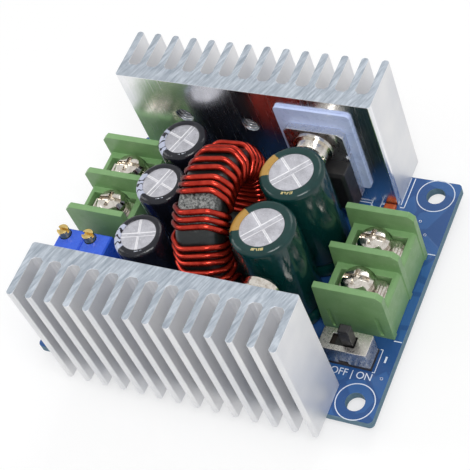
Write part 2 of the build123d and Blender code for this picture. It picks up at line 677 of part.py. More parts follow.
def capacitor_places():
    """Name, position, size (radius, height, lip, lead pitch) and score angle of each capacitor."""
    large = (LARGE_CAN_RADIUS, LARGE_CAN_HEIGHT, LARGE_CAN_LIP, LARGE_CAN_LEAD_PITCH)
    small = (SMALL_CAN_RADIUS, SMALL_CAN_HEIGHT, SMALL_CAN_LIP, SMALL_CAN_LEAD_PITCH)
    middle_y = SMALL_CAN_REAR_Y - SMALL_CAN_PITCH
    front = (SMALL_CAN_X + SMALL_CAN_FRONT_SHIFT, middle_y - SMALL_CAN_FRONT_STEP)
    return [("rear_output_capacitor", (LARGE_CAN_X, REAR_CAN_Y), large, LARGE_SCORE_ANGLE),
            ("front_output_capacitor", (LARGE_CAN_X - LARGE_CAN_STAGGER, FRONT_CAN_Y), large, LARGE_SCORE_ANGLE),
            ("rear_input_capacitor", (SMALL_CAN_X, SMALL_CAN_REAR_Y), small, SMALL_SCORE_ANGLE),
            ("middle_input_capacitor", (SMALL_CAN_X, middle_y), small, SMALL_SCORE_ANGLE),
            ("front_input_capacitor", front, small, FRONT_SCORE_ANGLE)]


def can_blank(place, radius, low, height):
    """Bevelled body of a can between two heights above the board."""
    with BuildPart() as blank:
        with BuildSketch(level(*place, BOARD_TOP + low)):
            RegularPolygon(radius - SLEEVE_THICKNESS, SHOWN_SIDES)
        extrude(amount=height - low)
        chamfer(blank.edges().group_by(Axis.Z)[-1], CAN_EDGE)
    return blank.part


def capacitor_can(name, place, size, score_angle):
    """Closed can, its top scored with a cross."""
    radius, height, lip, _ = size
    disc = radius - lip
    with BuildPart() as can:
        add(can_blank(place, radius, CAN_LOW, height))
        with Locations(Location((place[0], place[1], BOARD_TOP + height), (0, 0, score_angle))):
            Box(2 * disc, SCORE_WIDTH, 2 * SCORE_DEPTH, mode=Mode.SUBTRACT)
            Box(SCORE_WIDTH, 2 * disc, 2 * SCORE_DEPTH, mode=Mode.SUBTRACT)
    export(can, f"{name}_can")


def capacitor_sleeve(name, place, size):
    """Printed sleeve shrunk round the can, its rim curled over the top."""
    radius, height, lip, _ = size
    with BuildPart() as sleeve:
        with BuildSketch(level(*place, BOARD_TOP + SLEEVE_LOW)):
            Circle(radius)
        extrude(amount=height + SLEEVE_THICKNESS - SLEEVE_LOW)
        chamfer(sleeve.edges().group_by(Axis.Z)[-1], CAN_EDGE)
        add(can_blank(place, radius, SLEEVE_LOW, height), mode=Mode.SUBTRACT)
        with BuildSketch(level(*place, BOARD_TOP + height)):
            RegularPolygon(radius - lip, SHOWN_SIDES)
        extrude(amount=SLEEVE_THICKNESS, mode=Mode.SUBTRACT)
    export(sleeve, f"{name}_sleeve")


def capacitor_lead_points(place, pitch):
    """Where the two leads of a capacitor pass through the board."""
    return [(place[0], place[1] - pitch / 2), (place[0], place[1] + pitch / 2)]


def capacitor_bases(capacitors):
    """Rubber seals closing the cans, and the leads out of them through the board."""
    with BuildPart() as seals:
        for _, place, size, _ in capacitors:
            with BuildSketch(level(*place, BOARD_TOP)):
                RegularPolygon(size[0] - 2 * SLEEVE_THICKNESS, HIDDEN_SIDES)
            extrude(amount=CAN_LOW)
    export(seals, "capacitor_seals")
    with BuildPart() as leads:
        with BuildSketch(Plane.XY):
            for _, place, size, _ in capacitors:
                with Locations(*capacitor_lead_points(place, size[-1])):
                    RegularPolygon(CAN_LEAD_RADIUS, DRILL_SIDES)
        extrude(amount=BOARD_THICKNESS)
    export(leads, "capacitor_leads")


# Inductor

def coil_point(along, forward, up):
    """Point given along the inductor's axis, towards the front and up from its centre."""
    yaw = radians(COIL_YAW_ANGLE)
    x = COIL_X + along * cos(yaw) + forward * sin(yaw)
    y = COIL_Y + along * sin(yaw) - forward * cos(yaw)
    return (x, y, COIL_Z + up)


def coil_polar(along, radius, angle):
    """Point on the inductor by radius and by angle, measured from the front upwards."""
    return coil_point(along, radius * cos(radians(angle)), radius * sin(radians(angle)))


def inductor_core():
    """Coated ring core with bevelled edges."""
    axis = (cos(radians(COIL_YAW_ANGLE)), sin(radians(COIL_YAW_ANGLE)), 0)
    with BuildPart() as core:
        with BuildSketch(Plane(origin=coil_point(-CORE_WIDTH / 2, 0, 0), x_dir=(0, 0, 1), z_dir=axis)):
            RegularPolygon(CORE_RADIUS, CORE_SIDES)
            RegularPolygon(CORE_BORE_RADIUS, CORE_SIDES, mode=Mode.SUBTRACT)
        extrude(amount=CORE_WIDTH)
        left, *_, right = core.faces().sort_by(Axis(coil_point(0, 0, 0), axis))
        rims = left.outer_wire().edges() + right.outer_wire().edges()
        bores = left.inner_wires().edges() + right.inner_wires().edges()
        chamfer(rims, CORE_OUTER_BEVEL)
        chamfer(bores, CORE_INNER_BEVEL)
    export(core, "inductor_core")


def rim_angles():
    """Angle of every wire on the rim, in the uneven groups that the hand winding left."""
    groups = zip(RIM_GROUP_ANGLES, RIM_GROUP_COUNTS, RIM_STEP_ANGLES)
    return [start + wire * step for start, count, step in groups for wire in range(count)]


def lead_end(forward):
    """Straight lead up through the board on the inductor's right side."""
    low = -COIL_Z
    return [coil_point(WIRE_SIDE, forward, low), coil_point(WIRE_SIDE, forward, low + BOARD_TOP + LEAD_STRAIGHT)]


def spoke_points(side, rim, bore):
    """Wire down one face of the core, from its bend at the rim to its bend at the bore."""
    points = []
    for along, radius in ((WIRE_SIDE - WIRE_BEND_OUTER, WIRE_RIM), (WIRE_SIDE, WIRE_RIM - WIRE_BEND_OUTER),
                          (WIRE_SIDE, WIRE_BORE + WIRE_BEND_INNER), (WIRE_SIDE - WIRE_BEND_INNER, WIRE_BORE)):
        share = (WIRE_RIM - radius) / (WIRE_RIM - WIRE_BORE)
        points.append(coil_polar(side * along, radius, rim + share * (bore - rim)))
    return points


def strand_points(strand):
    """Route of one strand, from its first lead through its turns to its last lead."""
    rims = rim_angles()
    wires = range(strand, len(rims), STRANDS)
    outer = WIRE_RIM - WIRE_BEND_OUTER
    points = lead_end(FIRST_LEAD) if strand == 0 else lead_end(SECOND_LEAD)
    if strand > 0:
        points.append(coil_point(WIRE_SIDE, *SECOND_LEAD_KNEE))
    points.append(coil_polar(WIRE_SIDE, outer, rims[strand] + RIM_SLANT_ANGLE))
    points.append(coil_polar(WIRE_SIDE - WIRE_BEND_OUTER, WIRE_RIM, rims[strand] + RIM_SLANT_ANGLE))
    for wire in wires:
        bore = BORE_START_ANGLE + wire * BORE_STEP_ANGLE
        points += spoke_points(-1, rims[wire] - RIM_SLANT_ANGLE, bore)
        if wire + STRANDS < len(rims):
            points += spoke_points(1, rims[wire + STRANDS] + RIM_SLANT_ANGLE, bore + BORE_SLANT_ANGLE)[::-1]
        else:
            points.append(coil_polar(WIRE_SIDE - WIRE_BEND_INNER, WIRE_BORE, bore + BORE_SLANT_ANGLE))
            points.append(coil_polar(WIRE_SIDE, WIRE_BORE + WIRE_BEND_INNER, bore + BORE_SLANT_ANGLE))
    return points + lead_end(LAST_LEADS[strand])[::-1]


def inductor_winding():
    """Two enamelled strands wound side by side round the core."""
    with BuildPart() as winding:
        for strand in range(STRANDS):
            with BuildLine() as route:
                Polyline(*strand_points(strand))
            with BuildSketch(Plane(origin=route.line @ 0, z_dir=route.line % 0)) as wire:
                RegularPolygon(WIRE_RADIUS, WIRE_SIDES)
            sweep(wire.sketch, path=route.line, transition=Transition.RIGHT)
    export(winding, "inductor_winding")


def coil_lead_points():
    """Where the four ends of the winding pass through the board."""
    return [coil_point(WIRE_SIDE, forward, 0)[:2] for forward in (FIRST_LEAD, SECOND_LEAD, *LAST_LEADS)]


# Trimmers

def trimmer_centres():
    """Middle of both trimmers, side by side at the board's left edge."""
    first = TRIMMER_INSET_X + TRIMMER_WIDTH / 2 - RIGHT_EDGE
    return [(first + index * (TRIMMER_WIDTH + TRIMMER_GAP), TRIMMER_INSET_Y - REAR_EDGE) for index in (0, 1)]


def trimmer_pin_points(centre):
    """Where the three pins of a trimmer pass through the board."""
    return [(centre[0], centre[1] + step * TRIMMER_PIN_PITCH) for step in (-1, 0, 1)]


def trimmer_screw_centre(centre):
    """Middle of a trimmer's adjusting screw."""
    return (centre[0] + TRIMMER_SCREW_PLACE[0], centre[1] + TRIMMER_SCREW_PLACE[1])


def trimmer_housing(name, centre):
    """Moulded box on two feet, with a round recess for the adjusting screw."""
    foot_y = (TRIMMER_LENGTH - TRIMMER_FOOT_LENGTH) / 2
    with BuildPart() as housing:
        with BuildSketch(Plane.XY.offset(BOARD_TOP + TRIMMER_FOOT)):
            with Locations(centre):
                Rectangle(TRIMMER_WIDTH, TRIMMER_LENGTH)
        extrude(amount=TRIMMER_HEIGHT - TRIMMER_FOOT)
        chamfer(housing.edges().group_by(Axis.Z)[-1], TRIMMER_EDGE)
        with BuildSketch(Plane.XY.offset(BOARD_TOP)):
            with Locations((centre[0], centre[1] - foot_y), (centre[0], centre[1] + foot_y)):
                Rectangle(TRIMMER_WIDTH, TRIMMER_FOOT_LENGTH)
        extrude(amount=TRIMMER_FOOT)
        with BuildSketch(Plane.XY.offset(BOARD_TOP + TRIMMER_HEIGHT)):
            with Locations(trimmer_screw_centre(centre)):
                Circle(TRIMMER_SCREW_RADIUS + TRIMMER_SCREW_CLEARANCE)
        extrude(amount=-TRIMMER_RECESS_DEPTH, mode=Mode.SUBTRACT)
    export(housing, name)


def trimmer_screw(name, centre):
    """Slotted adjusting screw standing in its recess."""
    x, y = trimmer_screw_centre(centre)
    low = BOARD_TOP + TRIMMER_HEIGHT - TRIMMER_RECESS_DEPTH + TRIMMER_SEAT_GAP
    top = BOARD_TOP + TRIMMER_HEIGHT + TRIMMER_SCREW_HEIGHT
    with BuildPart() as screw:
        with BuildSketch(Plane.XY.offset(low)):
            with Locations((x, y)):
                Circle(TRIMMER_SCREW_RADIUS)
        extrude(amount=top - low)
        with Locations((x, y, top)):
            Box(2 * TRIMMER_SCREW_RADIUS, TRIMMER_SLOT_WIDTH, 2 * TRIMMER_SLOT_DEPTH, mode=Mode.SUBTRACT)
    export(screw, name)


def trimmer_pins(centres):
    """Square pins from the housings through the board."""
    with BuildPart() as pins:
        with BuildSketch(Plane.XY):
            for centre in centres:
                with Locations(*trimmer_pin_points(centre)):
                    Rectangle(TRIMMER_PIN_SIZE, TRIMMER_PIN_SIZE)
        extrude(amount=BOARD_THICKNESS + TRIMMER_FOOT)
    export(pins, "trimmer_pins")


# Slide switch

def switch_plane(height):
    """Plane over the middle of the switch, at a height above the board."""
    return level(SWITCH_X, SWITCH_Y, BOARD_TOP + height)


def switch_slider():
    """Slider plate under the shell with its lever through the slot."""
    lever_x = SWITCH_SLOT_X + SWITCH_TRAVEL / 2
    low = SHELL_HEIGHT - SHELL_WALL - SLIDER_GAP - SLIDER_THICKNESS
    with BuildPart() as slider:
        with BuildSketch(switch_plane(low)):
            with Locations((lever_x, 0)):
                Rectangle(SLIDER_LENGTH, SLIDER_WIDTH)
        extrude(amount=SLIDER_THICKNESS)
        with BuildSketch(switch_plane(low + SLIDER_THICKNESS)):
            with Locations((lever_x, 0)):
                Rectangle(LEVER_LENGTH, LEVER_WIDTH)
        extrude(amount=SHELL_HEIGHT + LEVER_HEIGHT - low - SLIDER_THICKNESS)
        chamfer(slider.edges().group_by(Axis.Z)[-1], LEVER_EDGE)
    export(slider, "switch_slider")


def switch_shell():
    """Folded metal cover with the lever's slot and a notch in its front."""
    slot = SWITCH_TRAVEL + LEVER_LENGTH + 2 * LEVER_END_GAP
    inner = SHELL_LENGTH - 2 * SHELL_WALL
    with BuildPart() as shell:
        with BuildSketch(switch_plane(SHELL_LOW)):
            RectangleRounded(SHELL_LENGTH, SHELL_WIDTH, SHELL_WALL)
        extrude(amount=SHELL_HEIGHT - SHELL_LOW)
        with BuildSketch(switch_plane(SHELL_LOW)):
            Rectangle(inner, SHELL_WIDTH - 2 * SHELL_WALL)
        extrude(amount=SHELL_HEIGHT - SHELL_LOW - SHELL_WALL, mode=Mode.SUBTRACT)
        with BuildSketch(switch_plane(SHELL_HEIGHT)):
            with Locations((SWITCH_SLOT_X, 0)):
                Rectangle(slot, SWITCH_SLOT_WIDTH)
        extrude(amount=-SHELL_WALL, mode=Mode.SUBTRACT)
        with BuildSketch(switch_plane(SHELL_LOW)):
            with Locations((SHELL_NOTCH_X, -SHELL_WIDTH / 2)):
                Rectangle(SHELL_NOTCH_LENGTH, 2 * SHELL_WALL)
        extrude(amount=SHELL_NOTCH_HEIGHT, mode=Mode.SUBTRACT)
    export(shell, "switch_shell")


def switch_base():
    """Moulded base filling the cover up to the slider's track."""
    track = SHELL_HEIGHT - SHELL_WALL - 2 * SLIDER_GAP - SLIDER_THICKNESS
    with BuildPart() as base:
        with BuildSketch(switch_plane(0)):
            Rectangle(SHELL_LENGTH, SHELL_WIDTH)
        extrude(amount=SHELL_LOW - SWITCH_FIT)
        with BuildSketch(switch_plane(0)):
            inset = SHELL_WALL + SWITCH_FIT
            Rectangle(SHELL_LENGTH - 2 * inset, SHELL_WIDTH - 2 * inset)
        extrude(amount=track)
        with BuildSketch(switch_plane(0)):
            with Locations((SHELL_NOTCH_X, -SHELL_WIDTH / 2 + SHELL_WALL)):
                Rectangle(SHELL_NOTCH_LENGTH - 2 * SWITCH_FIT, SHELL_WALL)
        extrude(amount=SHELL_LOW + SHELL_NOTCH_HEIGHT - SWITCH_FIT)
    export(base, "switch_base")


def switch_pin_points():
    """Where the three pins of the switch pass through the board."""
    return [(SWITCH_X + step * SWITCH_PIN_PITCH, SWITCH_Y) for step in (-1, 0, 1)]


def switch_pins():
    """Square pins under the switch's base."""
    with BuildPart() as pins:
        with BuildSketch(Plane.XY):
            with Locations(*switch_pin_points()):
                Rectangle(SWITCH_PIN_SIZE, SWITCH_PIN_SIZE)
        extrude(amount=BOARD_THICKNESS)
    export(pins, "switch_pins")


# Lamp and the flat parts under the board

def indicator_lamp():
    """Small clear block of the lamp, soldered flat on the board."""
    with BuildPart() as lamp:
        with BuildSketch(level(LAMP_X, LAMP_Y, BOARD_TOP)):
            Rectangle(LAMP_LENGTH, LAMP_WIDTH)
        extrude(amount=LAMP_HEIGHT)
        chamfer(lamp.edges().group_by(Axis.Z)[-1], LAMP_EDGE)
    export(lamp, "indicator_lamp")


def gull_chip(name, leads, place):
    """Moulded chip under the board with a row of bent leads on both sides."""
    length = (leads - 1) * CHIP_LEAD_PITCH + 2 * CHIP_END
    places = [(lead - (leads - 1) / 2) * CHIP_LEAD_PITCH for lead in range(leads)]
    sections = [Plane(origin=(place[0] + x, place[1], 0), x_dir=(0, side, 0), z_dir=(side, 0, 0))
                for side in (-1, 1) for x in places]
    root = CHIP_WIDTH / 2 - CHIP_EDGE
    reach = CHIP_LEAD_SPAN / 2
    knee = reach - CHIP_FOOT
    with BuildPart() as chip:
        with BuildSketch(Plane.XY.offset(-CHIP_STAND_OFF)):
            with Locations(place):
                Rectangle(length, CHIP_WIDTH)
        extrude(amount=-CHIP_HEIGHT)
        chamfer(chip.edges().group_by(Axis.Z)[0], CHIP_EDGE)
        with BuildSketch(*sections):
            with BuildLine():
                Polyline((root, -CHIP_LEAD_DROP), (knee, 0), (reach, 0), (reach, -CHIP_LEAD_THICKNESS),
                         (knee, -CHIP_LEAD_THICKNESS), (root, -CHIP_LEAD_DROP - CHIP_LEAD_THICKNESS),
                         (root, -CHIP_LEAD_DROP))
            make_face()
        extrude(amount=CHIP_LEAD_WIDTH / 2, both=True)
    export(chip, name)


def near(place, offset):
    """Point at an offset from another one."""
    return (place[0] + offset[0], place[1] + offset[1])


def flat_parts(name, size, place, pitch=(1.0, 1.0), count=(1, 1)):
    """One or more plain chip parts under the board."""
    with BuildPart() as chips:
        with BuildSketch(Plane.XY):
            with Locations(place):
                with GridLocations(*pitch, *count):
                    Rectangle(size[0], size[1])
        extrude(amount=-size[2])
    export(chips, name)


def drilled_holes(devices, capacitors):
    """Every drilled hole of the board, as groups of points with their radius."""
    pins = [point for centre in trimmer_centres() for point in trimmer_pin_points(centre)]
    terminals = (terminal_pin_points(RIGHT_BLOCK_X, RIGHT_BLOCK_Y, 1)
                 + terminal_pin_points(LEFT_BLOCK_X, LEFT_BLOCK_Y, -1))
    return [([point for device in devices for point in device_lead_points(*device)],
             flat_lead_radius(LEAD_WIDTH, LEAD_THICKNESS)),
            ([point for _, place, size, _ in capacitors for point in capacitor_lead_points(place, size[-1])],
             round_lead_radius(CAN_LEAD_RADIUS)),
            (coil_lead_points(), round_lead_radius(WIRE_RADIUS)),
            (pins, flat_lead_radius(TRIMMER_PIN_SIZE, TRIMMER_PIN_SIZE)),
            (switch_pin_points(), flat_lead_radius(SWITCH_PIN_SIZE, SWITCH_PIN_SIZE)),
            (terminals, flat_lead_radius(PIN_WIDTH, PIN_THICKNESS))]


def main():
    """Build every piece and write it."""
    sinks = (("front", FRONT_SINK_X, FRONT_FACE_Y, -1), ("rear", REAR_SINK_X, REAR_FACE_Y, 1))
    devices = [(centre + TAPPED_PITCH, face_y, side) for _, centre, face_y, side in sinks]
    capacitors = capacitor_places()
    holes = drilled_holes(devices, capacitors)
    circuit_board(holes)
    solder_joints(holes)
    for (row, centre, face_y, side), device in zip(sinks, devices):
        heatsink(f"{row}_heatsink", centre, face_y, side)
        insulating_pad(f"{row}_insulating_pad", *device)
        frame = lead_frame(f"{row}_device_leads", *device)
        device_case(f"{row}_device_case", *device, frame)
    device_fasteners([device_plane(*device) for device in devices])
    terminal_block("right", RIGHT_BLOCK_X, RIGHT_BLOCK_Y, 1)
    terminal_block("left", LEFT_BLOCK_X, LEFT_BLOCK_Y, -1)
    for name, place, size, score_angle in capacitors:
        capacitor_can(name, place, size, score_angle)
        capacitor_sleeve(name, place, size)
    capacitor_bases(capacitors)
    inductor_core()
    inductor_winding()
    for row, centre in zip(("left", "right"), trimmer_centres()):
        trimmer_housing(f"{row}_trimmer_housing", centre)
        trimmer_screw(f"{row}_trimmer_screw", centre)
    trimmer_pins(trimmer_centres())
    switch_shell()
    switch_base()
    switch_slider()
    switch_pins()
    indicator_lamp()
    places = {name: place for name, place, _, _ in capacitors}
    coil = (COIL_X, COIL_Y)
    gull_chip("controller_chip", CONTROLLER_LEADS, near(coil, CONTROLLER_FROM_COIL))
    gull_chip("amplifier_chip", AMPLIFIER_LEADS, near(places["middle_input_capacitor"], AMPLIFIER_FROM_CAN))
    flat_parts("shunt_resistor", SHUNT_SIZE, near(places["rear_input_capacitor"], SHUNT_FROM_CAN))
    flat_parts("chip_resistors", CHIP_RESISTOR_SIZE, near(coil, CHIP_RESISTOR_FROM_COIL), CHIP_RESISTOR_PITCH,
               CHIP_RESISTOR_COUNT)
    chip_place = near(places["rear_output_capacitor"], CHIP_CAPACITOR_FROM_CAN)
    flat_parts("chip_capacitors", CHIP_CAPACITOR_SIZE, chip_place, CHIP_CAPACITOR_PITCH, CHIP_CAPACITOR_COUNT)


main()
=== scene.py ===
"""Looks of an open dc-dc converter module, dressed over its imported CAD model."""

import json
import logging
import math
import random
from dataclasses import dataclass, field
from enum import Enum
from typing import ClassVar, Iterable, Optional, Sequence, Union

import bmesh
import bpy
from mathutils import Matrix, Vector


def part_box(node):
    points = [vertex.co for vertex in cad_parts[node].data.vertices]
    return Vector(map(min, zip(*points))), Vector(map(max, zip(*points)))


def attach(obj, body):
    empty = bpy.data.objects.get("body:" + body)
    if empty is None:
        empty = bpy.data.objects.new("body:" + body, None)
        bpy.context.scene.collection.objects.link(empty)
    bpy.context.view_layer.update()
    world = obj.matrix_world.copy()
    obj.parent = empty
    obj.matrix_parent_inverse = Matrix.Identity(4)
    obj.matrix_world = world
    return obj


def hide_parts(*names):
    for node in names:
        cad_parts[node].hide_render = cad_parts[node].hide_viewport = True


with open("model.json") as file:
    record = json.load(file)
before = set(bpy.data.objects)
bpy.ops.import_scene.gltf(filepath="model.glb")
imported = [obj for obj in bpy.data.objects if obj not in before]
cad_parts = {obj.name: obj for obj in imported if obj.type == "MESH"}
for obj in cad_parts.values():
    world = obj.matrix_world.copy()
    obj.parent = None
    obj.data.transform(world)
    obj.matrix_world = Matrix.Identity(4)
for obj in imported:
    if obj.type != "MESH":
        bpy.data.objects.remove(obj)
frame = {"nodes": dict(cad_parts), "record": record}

LOG = logging.getLogger("scene")
MM = 0.001
SEED = 11
BOARD_TOP = 1.6
PRINT_LIFT = 0.012
JOIN_REACH = 1e-6
SLOT_OF = {part["node"]: part["material_slot"] for part in frame["record"]["subparts"]}
BODY_OF = {node: body for body, nodes in frame["record"]["behaviour"]["bodies"].items() for node in nodes}

Colour = tuple[float, float, float]
Point = tuple[float, float, float]
Value = Union[float, Sequence[float], bpy.types.NodeSocket, bpy.types.Material]


def paint(colour: Colour) -> tuple[float, float, float, float]:
    """Colour as a shader socket takes it."""
    return (*colour, 1.0)


class Axis(Enum):
    """Axis of a node's own coordinates."""

    X = 0
    Y = 1
    Z = 2


class Wiring:
    """Adds, sets and links the nodes of one tree."""

    def __init__(self, tree: bpy.types.NodeTree) -> None:
        """Take the tree that is written.

        Args:
            tree: Tree of a material, a world or a Geometry Nodes group.
        """
        self.tree = tree

    def feed(self, socket: bpy.types.NodeSocket, value: Value) -> None:
        """Link a socket, or set its constant."""
        if isinstance(value, bpy.types.NodeSocket):
            self.tree.links.new(value, socket)
        else:
            socket.default_value = value

    def add(self, kind: str, inputs: Optional[dict[str, Value]] = None, **settings: object) -> bpy.types.Node:
        """Add a node.

        Args:
            kind: Blender's name of the node type.
            inputs: Value of each input by its name.
            settings: Properties of the node, set before its inputs.

        Returns:
            The new node.
        """
        node = self.tree.nodes.new(kind)
        for name, value in settings.items():
            setattr(node, name, value)
        for name, value in (inputs or {}).items():
            self.feed(node.inputs[name], value)
        return node

    def count(self, operation: str, first: Value, second: Value = 0.0) -> bpy.types.NodeSocket:
        """Result of one arithmetic step."""
        node = self.add("ShaderNodeMath", operation=operation)
        self.feed(node.inputs[0], first)
        self.feed(node.inputs[1], second)
        return node.outputs[0]

    def product(self, first: Value, second: Value) -> bpy.types.NodeSocket:
        """Product of two values."""
        return self.count("MULTIPLY", first, second)

    def rest(self, share: Value) -> bpy.types.NodeSocket:
        """What a share leaves of one whole."""
        return self.count("SUBTRACT", 1.0, share)

    def beat(self, value: Value) -> bpy.types.NodeSocket:
        """Distance from the middle of each whole step."""
        return self.count("ABSOLUTE", self.count("SUBTRACT", self.count("FRACT", value), 0.5))


class NodeBook(Wiring):
    """Writes the nodes of one procedural material, fed with sockets or constants."""

    def __init__(self, name: str) -> None:
        """Start an empty material with a Principled shader.

        Args:
            name: Name of the material.
        """
        self.material = bpy.data.materials.new(name)
        self.material.use_nodes = True
        super().__init__(self.material.node_tree)
        self.shader = self.tree.nodes["Principled BSDF"]
        self.source = self.add("ShaderNodeTexCoord")
        self.mm = self.place((1000.0, 1000.0, 1000.0))

    def place(self, scale: Point, turn: Point = (0.0, 0.0, 0.0),
              source: Optional[bpy.types.NodeSocket] = None) -> bpy.types.NodeSocket:
        """Object coordinates, or another source, turned in radians and scaled."""
        start = self.source.outputs["Object"] if source is None else source
        return self.add("ShaderNodeMapping", {"Vector": start, "Rotation": turn, "Scale": scale}).outputs[0]

    def noise(self, scale: float, detail: float = 3.0, roughness: float = 0.55, distortion: float = 0.0,
              source: Optional[bpy.types.NodeSocket] = None) -> bpy.types.NodeSocket:
        """Noise whose scale counts waves a millimetre."""
        node = self.add("ShaderNodeTexNoise", {
            "Vector": self.mm if source is None else source, "Scale": scale, "Detail": detail,
            "Roughness": roughness, "Distortion": distortion})
        return node.outputs["Fac"]

    def cells(self, scale: float, feature: str = "F1", output: str = "Distance") -> bpy.types.NodeSocket:
        """Cell pattern whose scale counts cells a millimetre."""
        node = self.add("ShaderNodeTexVoronoi", {"Vector": self.mm, "Scale": scale}, feature=feature)
        return node.outputs[output]

    def level(self, value: bpy.types.NodeSocket, low: float, high: float, start: float = 0.0,
              end: float = 1.0) -> bpy.types.NodeSocket:
        """Value between low and high, mapped to a range and held at its ends."""
        node = self.add("ShaderNodeMapRange")
        for socket, entry in zip(node.inputs, (value, low, high, start, end)):
            self.feed(socket, entry)
        return node.outputs[0]

    def blend(self, factor: Value, first: Value, second: Value) -> bpy.types.NodeSocket:
        """Mix of two colours, each a socket or red, green and blue."""
        node = self.add("ShaderNodeMix", data_type="RGBA")
        self.feed(node.inputs[0], factor)
        for index, value in ((6, first), (7, second)):
            self.feed(node.inputs[index], paint(value) if isinstance(value, tuple) else value)
        return node.outputs[2]

    def part(self, vector: bpy.types.NodeSocket, axis: Axis) -> bpy.types.NodeSocket:
        """One part of a vector."""
        return self.add("ShaderNodeSeparateXYZ", {"Vector": vector}).outputs[axis.value]

    def facing(self, axis: Axis) -> bpy.types.NodeSocket:
        """How far the surface faces along an axis, either way."""
        return self.count("ABSOLUTE", self.part(self.source.outputs["Normal"], axis))

    def bump(self, height: bpy.types.NodeSocket, strength: float, depth: float,
             under: Optional[bpy.types.NodeSocket] = None) -> bpy.types.NodeSocket:
        """Bumped normal from a height, its depth in millimetres."""
        node = self.add("ShaderNodeBump", {"Strength": strength, "Distance": depth * MM, "Height": height})
        if under is not None:
            self.feed(node.inputs["Normal"], under)
        return node.outputs["Normal"]

    def finish(self, **values: Value) -> bpy.types.Material:
        """Feed the shader by socket name, with _ for a space, and give the material."""
        for name, value in values.items():
            self.feed(self.shader.inputs[name.replace("_", " ")], value)
        return self.material


@dataclass(frozen=True)
class Finish:
    """Look of a surface; each kind writes its own nodes, once for each set of values."""

    name: str
    made: ClassVar[dict] = {}

    def write(self, book: NodeBook) -> bpy.types.Material:
        """Write the nodes of the finish."""
        raise NotImplementedError

    def material(self) -> bpy.types.Material:
        """The finish's material, written at its first use."""
        if self not in Finish.made:
            Finish.made[self] = self.write(NodeBook(self.name))
        return Finish.made[self]


@dataclass(frozen=True)
class Moulding(Finish):
    """Moulded plastic with a fine texture, cloudy colour and paler rubbed patches."""

    colour: Colour
    pale: Colour
    roughness: float = 0.42
    grain: float = 9.0
    depth: float = 0.02

    def write(self, book: NodeBook) -> bpy.types.Material:
        """Write the moulding's colour, sheen and texture."""
        cloud = book.level(book.noise(0.35, 4.0), 0.3, 0.75)
        rub = book.level(book.noise(1.7, 5.0, 0.65), 0.60, 0.74, 0.0, 0.55)
        colour = book.blend(book.product(cloud, 0.35), self.colour, self.pale)
        colour = book.blend(rub, colour, self.pale)
        sheen = book.level(book.noise(0.8, 3.0), 0.3, 0.7, self.roughness - 0.07, self.roughness + 0.1)
        return book.finish(Base_Color=colour, Roughness=sheen, IOR=1.5,
                           Normal=book.bump(book.noise(self.grain, 2.0), 0.35, self.depth))


@dataclass(frozen=True)
class Metal(Finish):
    """Bare or plated metal with drawn grain, fine scratches and stains; on the nickel plate the dark brown
    patches are painted reflection of dark surroundings.
    """

    colour: Colour
    stain: Colour
    roughness: float = 0.25
    stretch: Point = (1.0, 1.0, 1.0)
    grain: float = 3.0
    depth: float = 0.01
    stained: float = 0.4

    def write(self, book: NodeBook) -> bpy.types.Material:
        """Write the metal's colour, polish and grain."""
        along = book.place(tuple(1000.0 * part for part in self.stretch))
        drawn = book.noise(self.grain, 4.0, 0.6, source=along)
        # Noise patches of the second colour: stains on most metals, painted reflection of dark surroundings
        # on the nickel plate.
        stain_and_reflection_blot = book.level(book.noise(0.9, 4.0, 0.6), 0.48, 0.72, 0.0, self.stained)
        colour = book.blend(stain_and_reflection_blot, self.colour, self.stain)
        polish = book.level(drawn, 0.3, 0.7, self.roughness * 0.7, self.roughness * 1.35)
        return book.finish(Base_Color=colour, Metallic=1.0, Roughness=polish,
                           Normal=book.bump(drawn, 0.3, self.depth))


@dataclass(frozen=True)
class SawnExtrusion(Finish):
    """Bare aluminium extrusion: drawn along its height, its ends sawn aslant."""

    side: Colour = (0.79, 0.80, 0.83)
    bright: Colour = (0.89, 0.89, 0.90)
    end: Colour = (0.32, 0.37, 0.43)
    stroke: Colour = (0.58, 0.63, 0.69)
    chip: Colour = (0.36, 0.40, 0.46)
    saw_slant: float = 0.39
    inner_face: float = 17.15

    def write(self, book: NodeBook) -> bpy.types.Material:
        """Write the drawn sides and the sawn ends, told apart by the way they face."""
        is_end = book.level(book.facing(Axis.Z), 0.6, 0.8)
        drawn = book.noise(2.2, 4.0, 0.65, source=book.place((1600.0, 1600.0, 45.0)))
        soft = book.noise(0.11, 3.0, 0.5)
        slanted = book.place((1.0, 1.0, 1.0), (0.0, 0.0, self.saw_slant))
        strokes = book.noise(1.0, 4.0, 0.7, 0.2, source=book.place((2000.0, 230.0, 230.0), source=slanted))
        chips = book.level(book.noise(0.55, 4.0, 0.6), 0.50, 0.66)
        side = book.blend(book.level(soft, 0.35, 0.65), self.side, self.bright)
        ends = book.blend(book.level(strokes, 0.38, 0.62), self.end, self.stroke)
        ends = book.blend(book.product(chips, 0.4), ends, self.chip)
        depth = book.count("ABSOLUTE", book.part(book.mm, Axis.Y))
        inner = book.level(depth, self.inner_face, self.inner_face + 0.2, 1.0, 0.0)
        dull = book.level(drawn, 0.25, 0.75, 0.36, 0.50)
        polish = book.blend(inner, dull, book.level(drawn, 0.25, 0.75, 0.16, 0.30))
        rough = book.blend(is_end, polish, book.level(strokes, 0.3, 0.7, 0.36, 0.60))
        bare = book.blend(inner, (0.62, 0.62, 0.62), (1.0, 1.0, 1.0))
        height = book.blend(is_end, drawn, strokes)
        return book.finish(Base_Color=book.blend(is_end, side, ends),
                           Metallic=book.blend(is_end, bare, (0.70, 0.70, 0.70)),
                           Roughness=rough, Normal=book.bump(height, 0.32, 0.025))


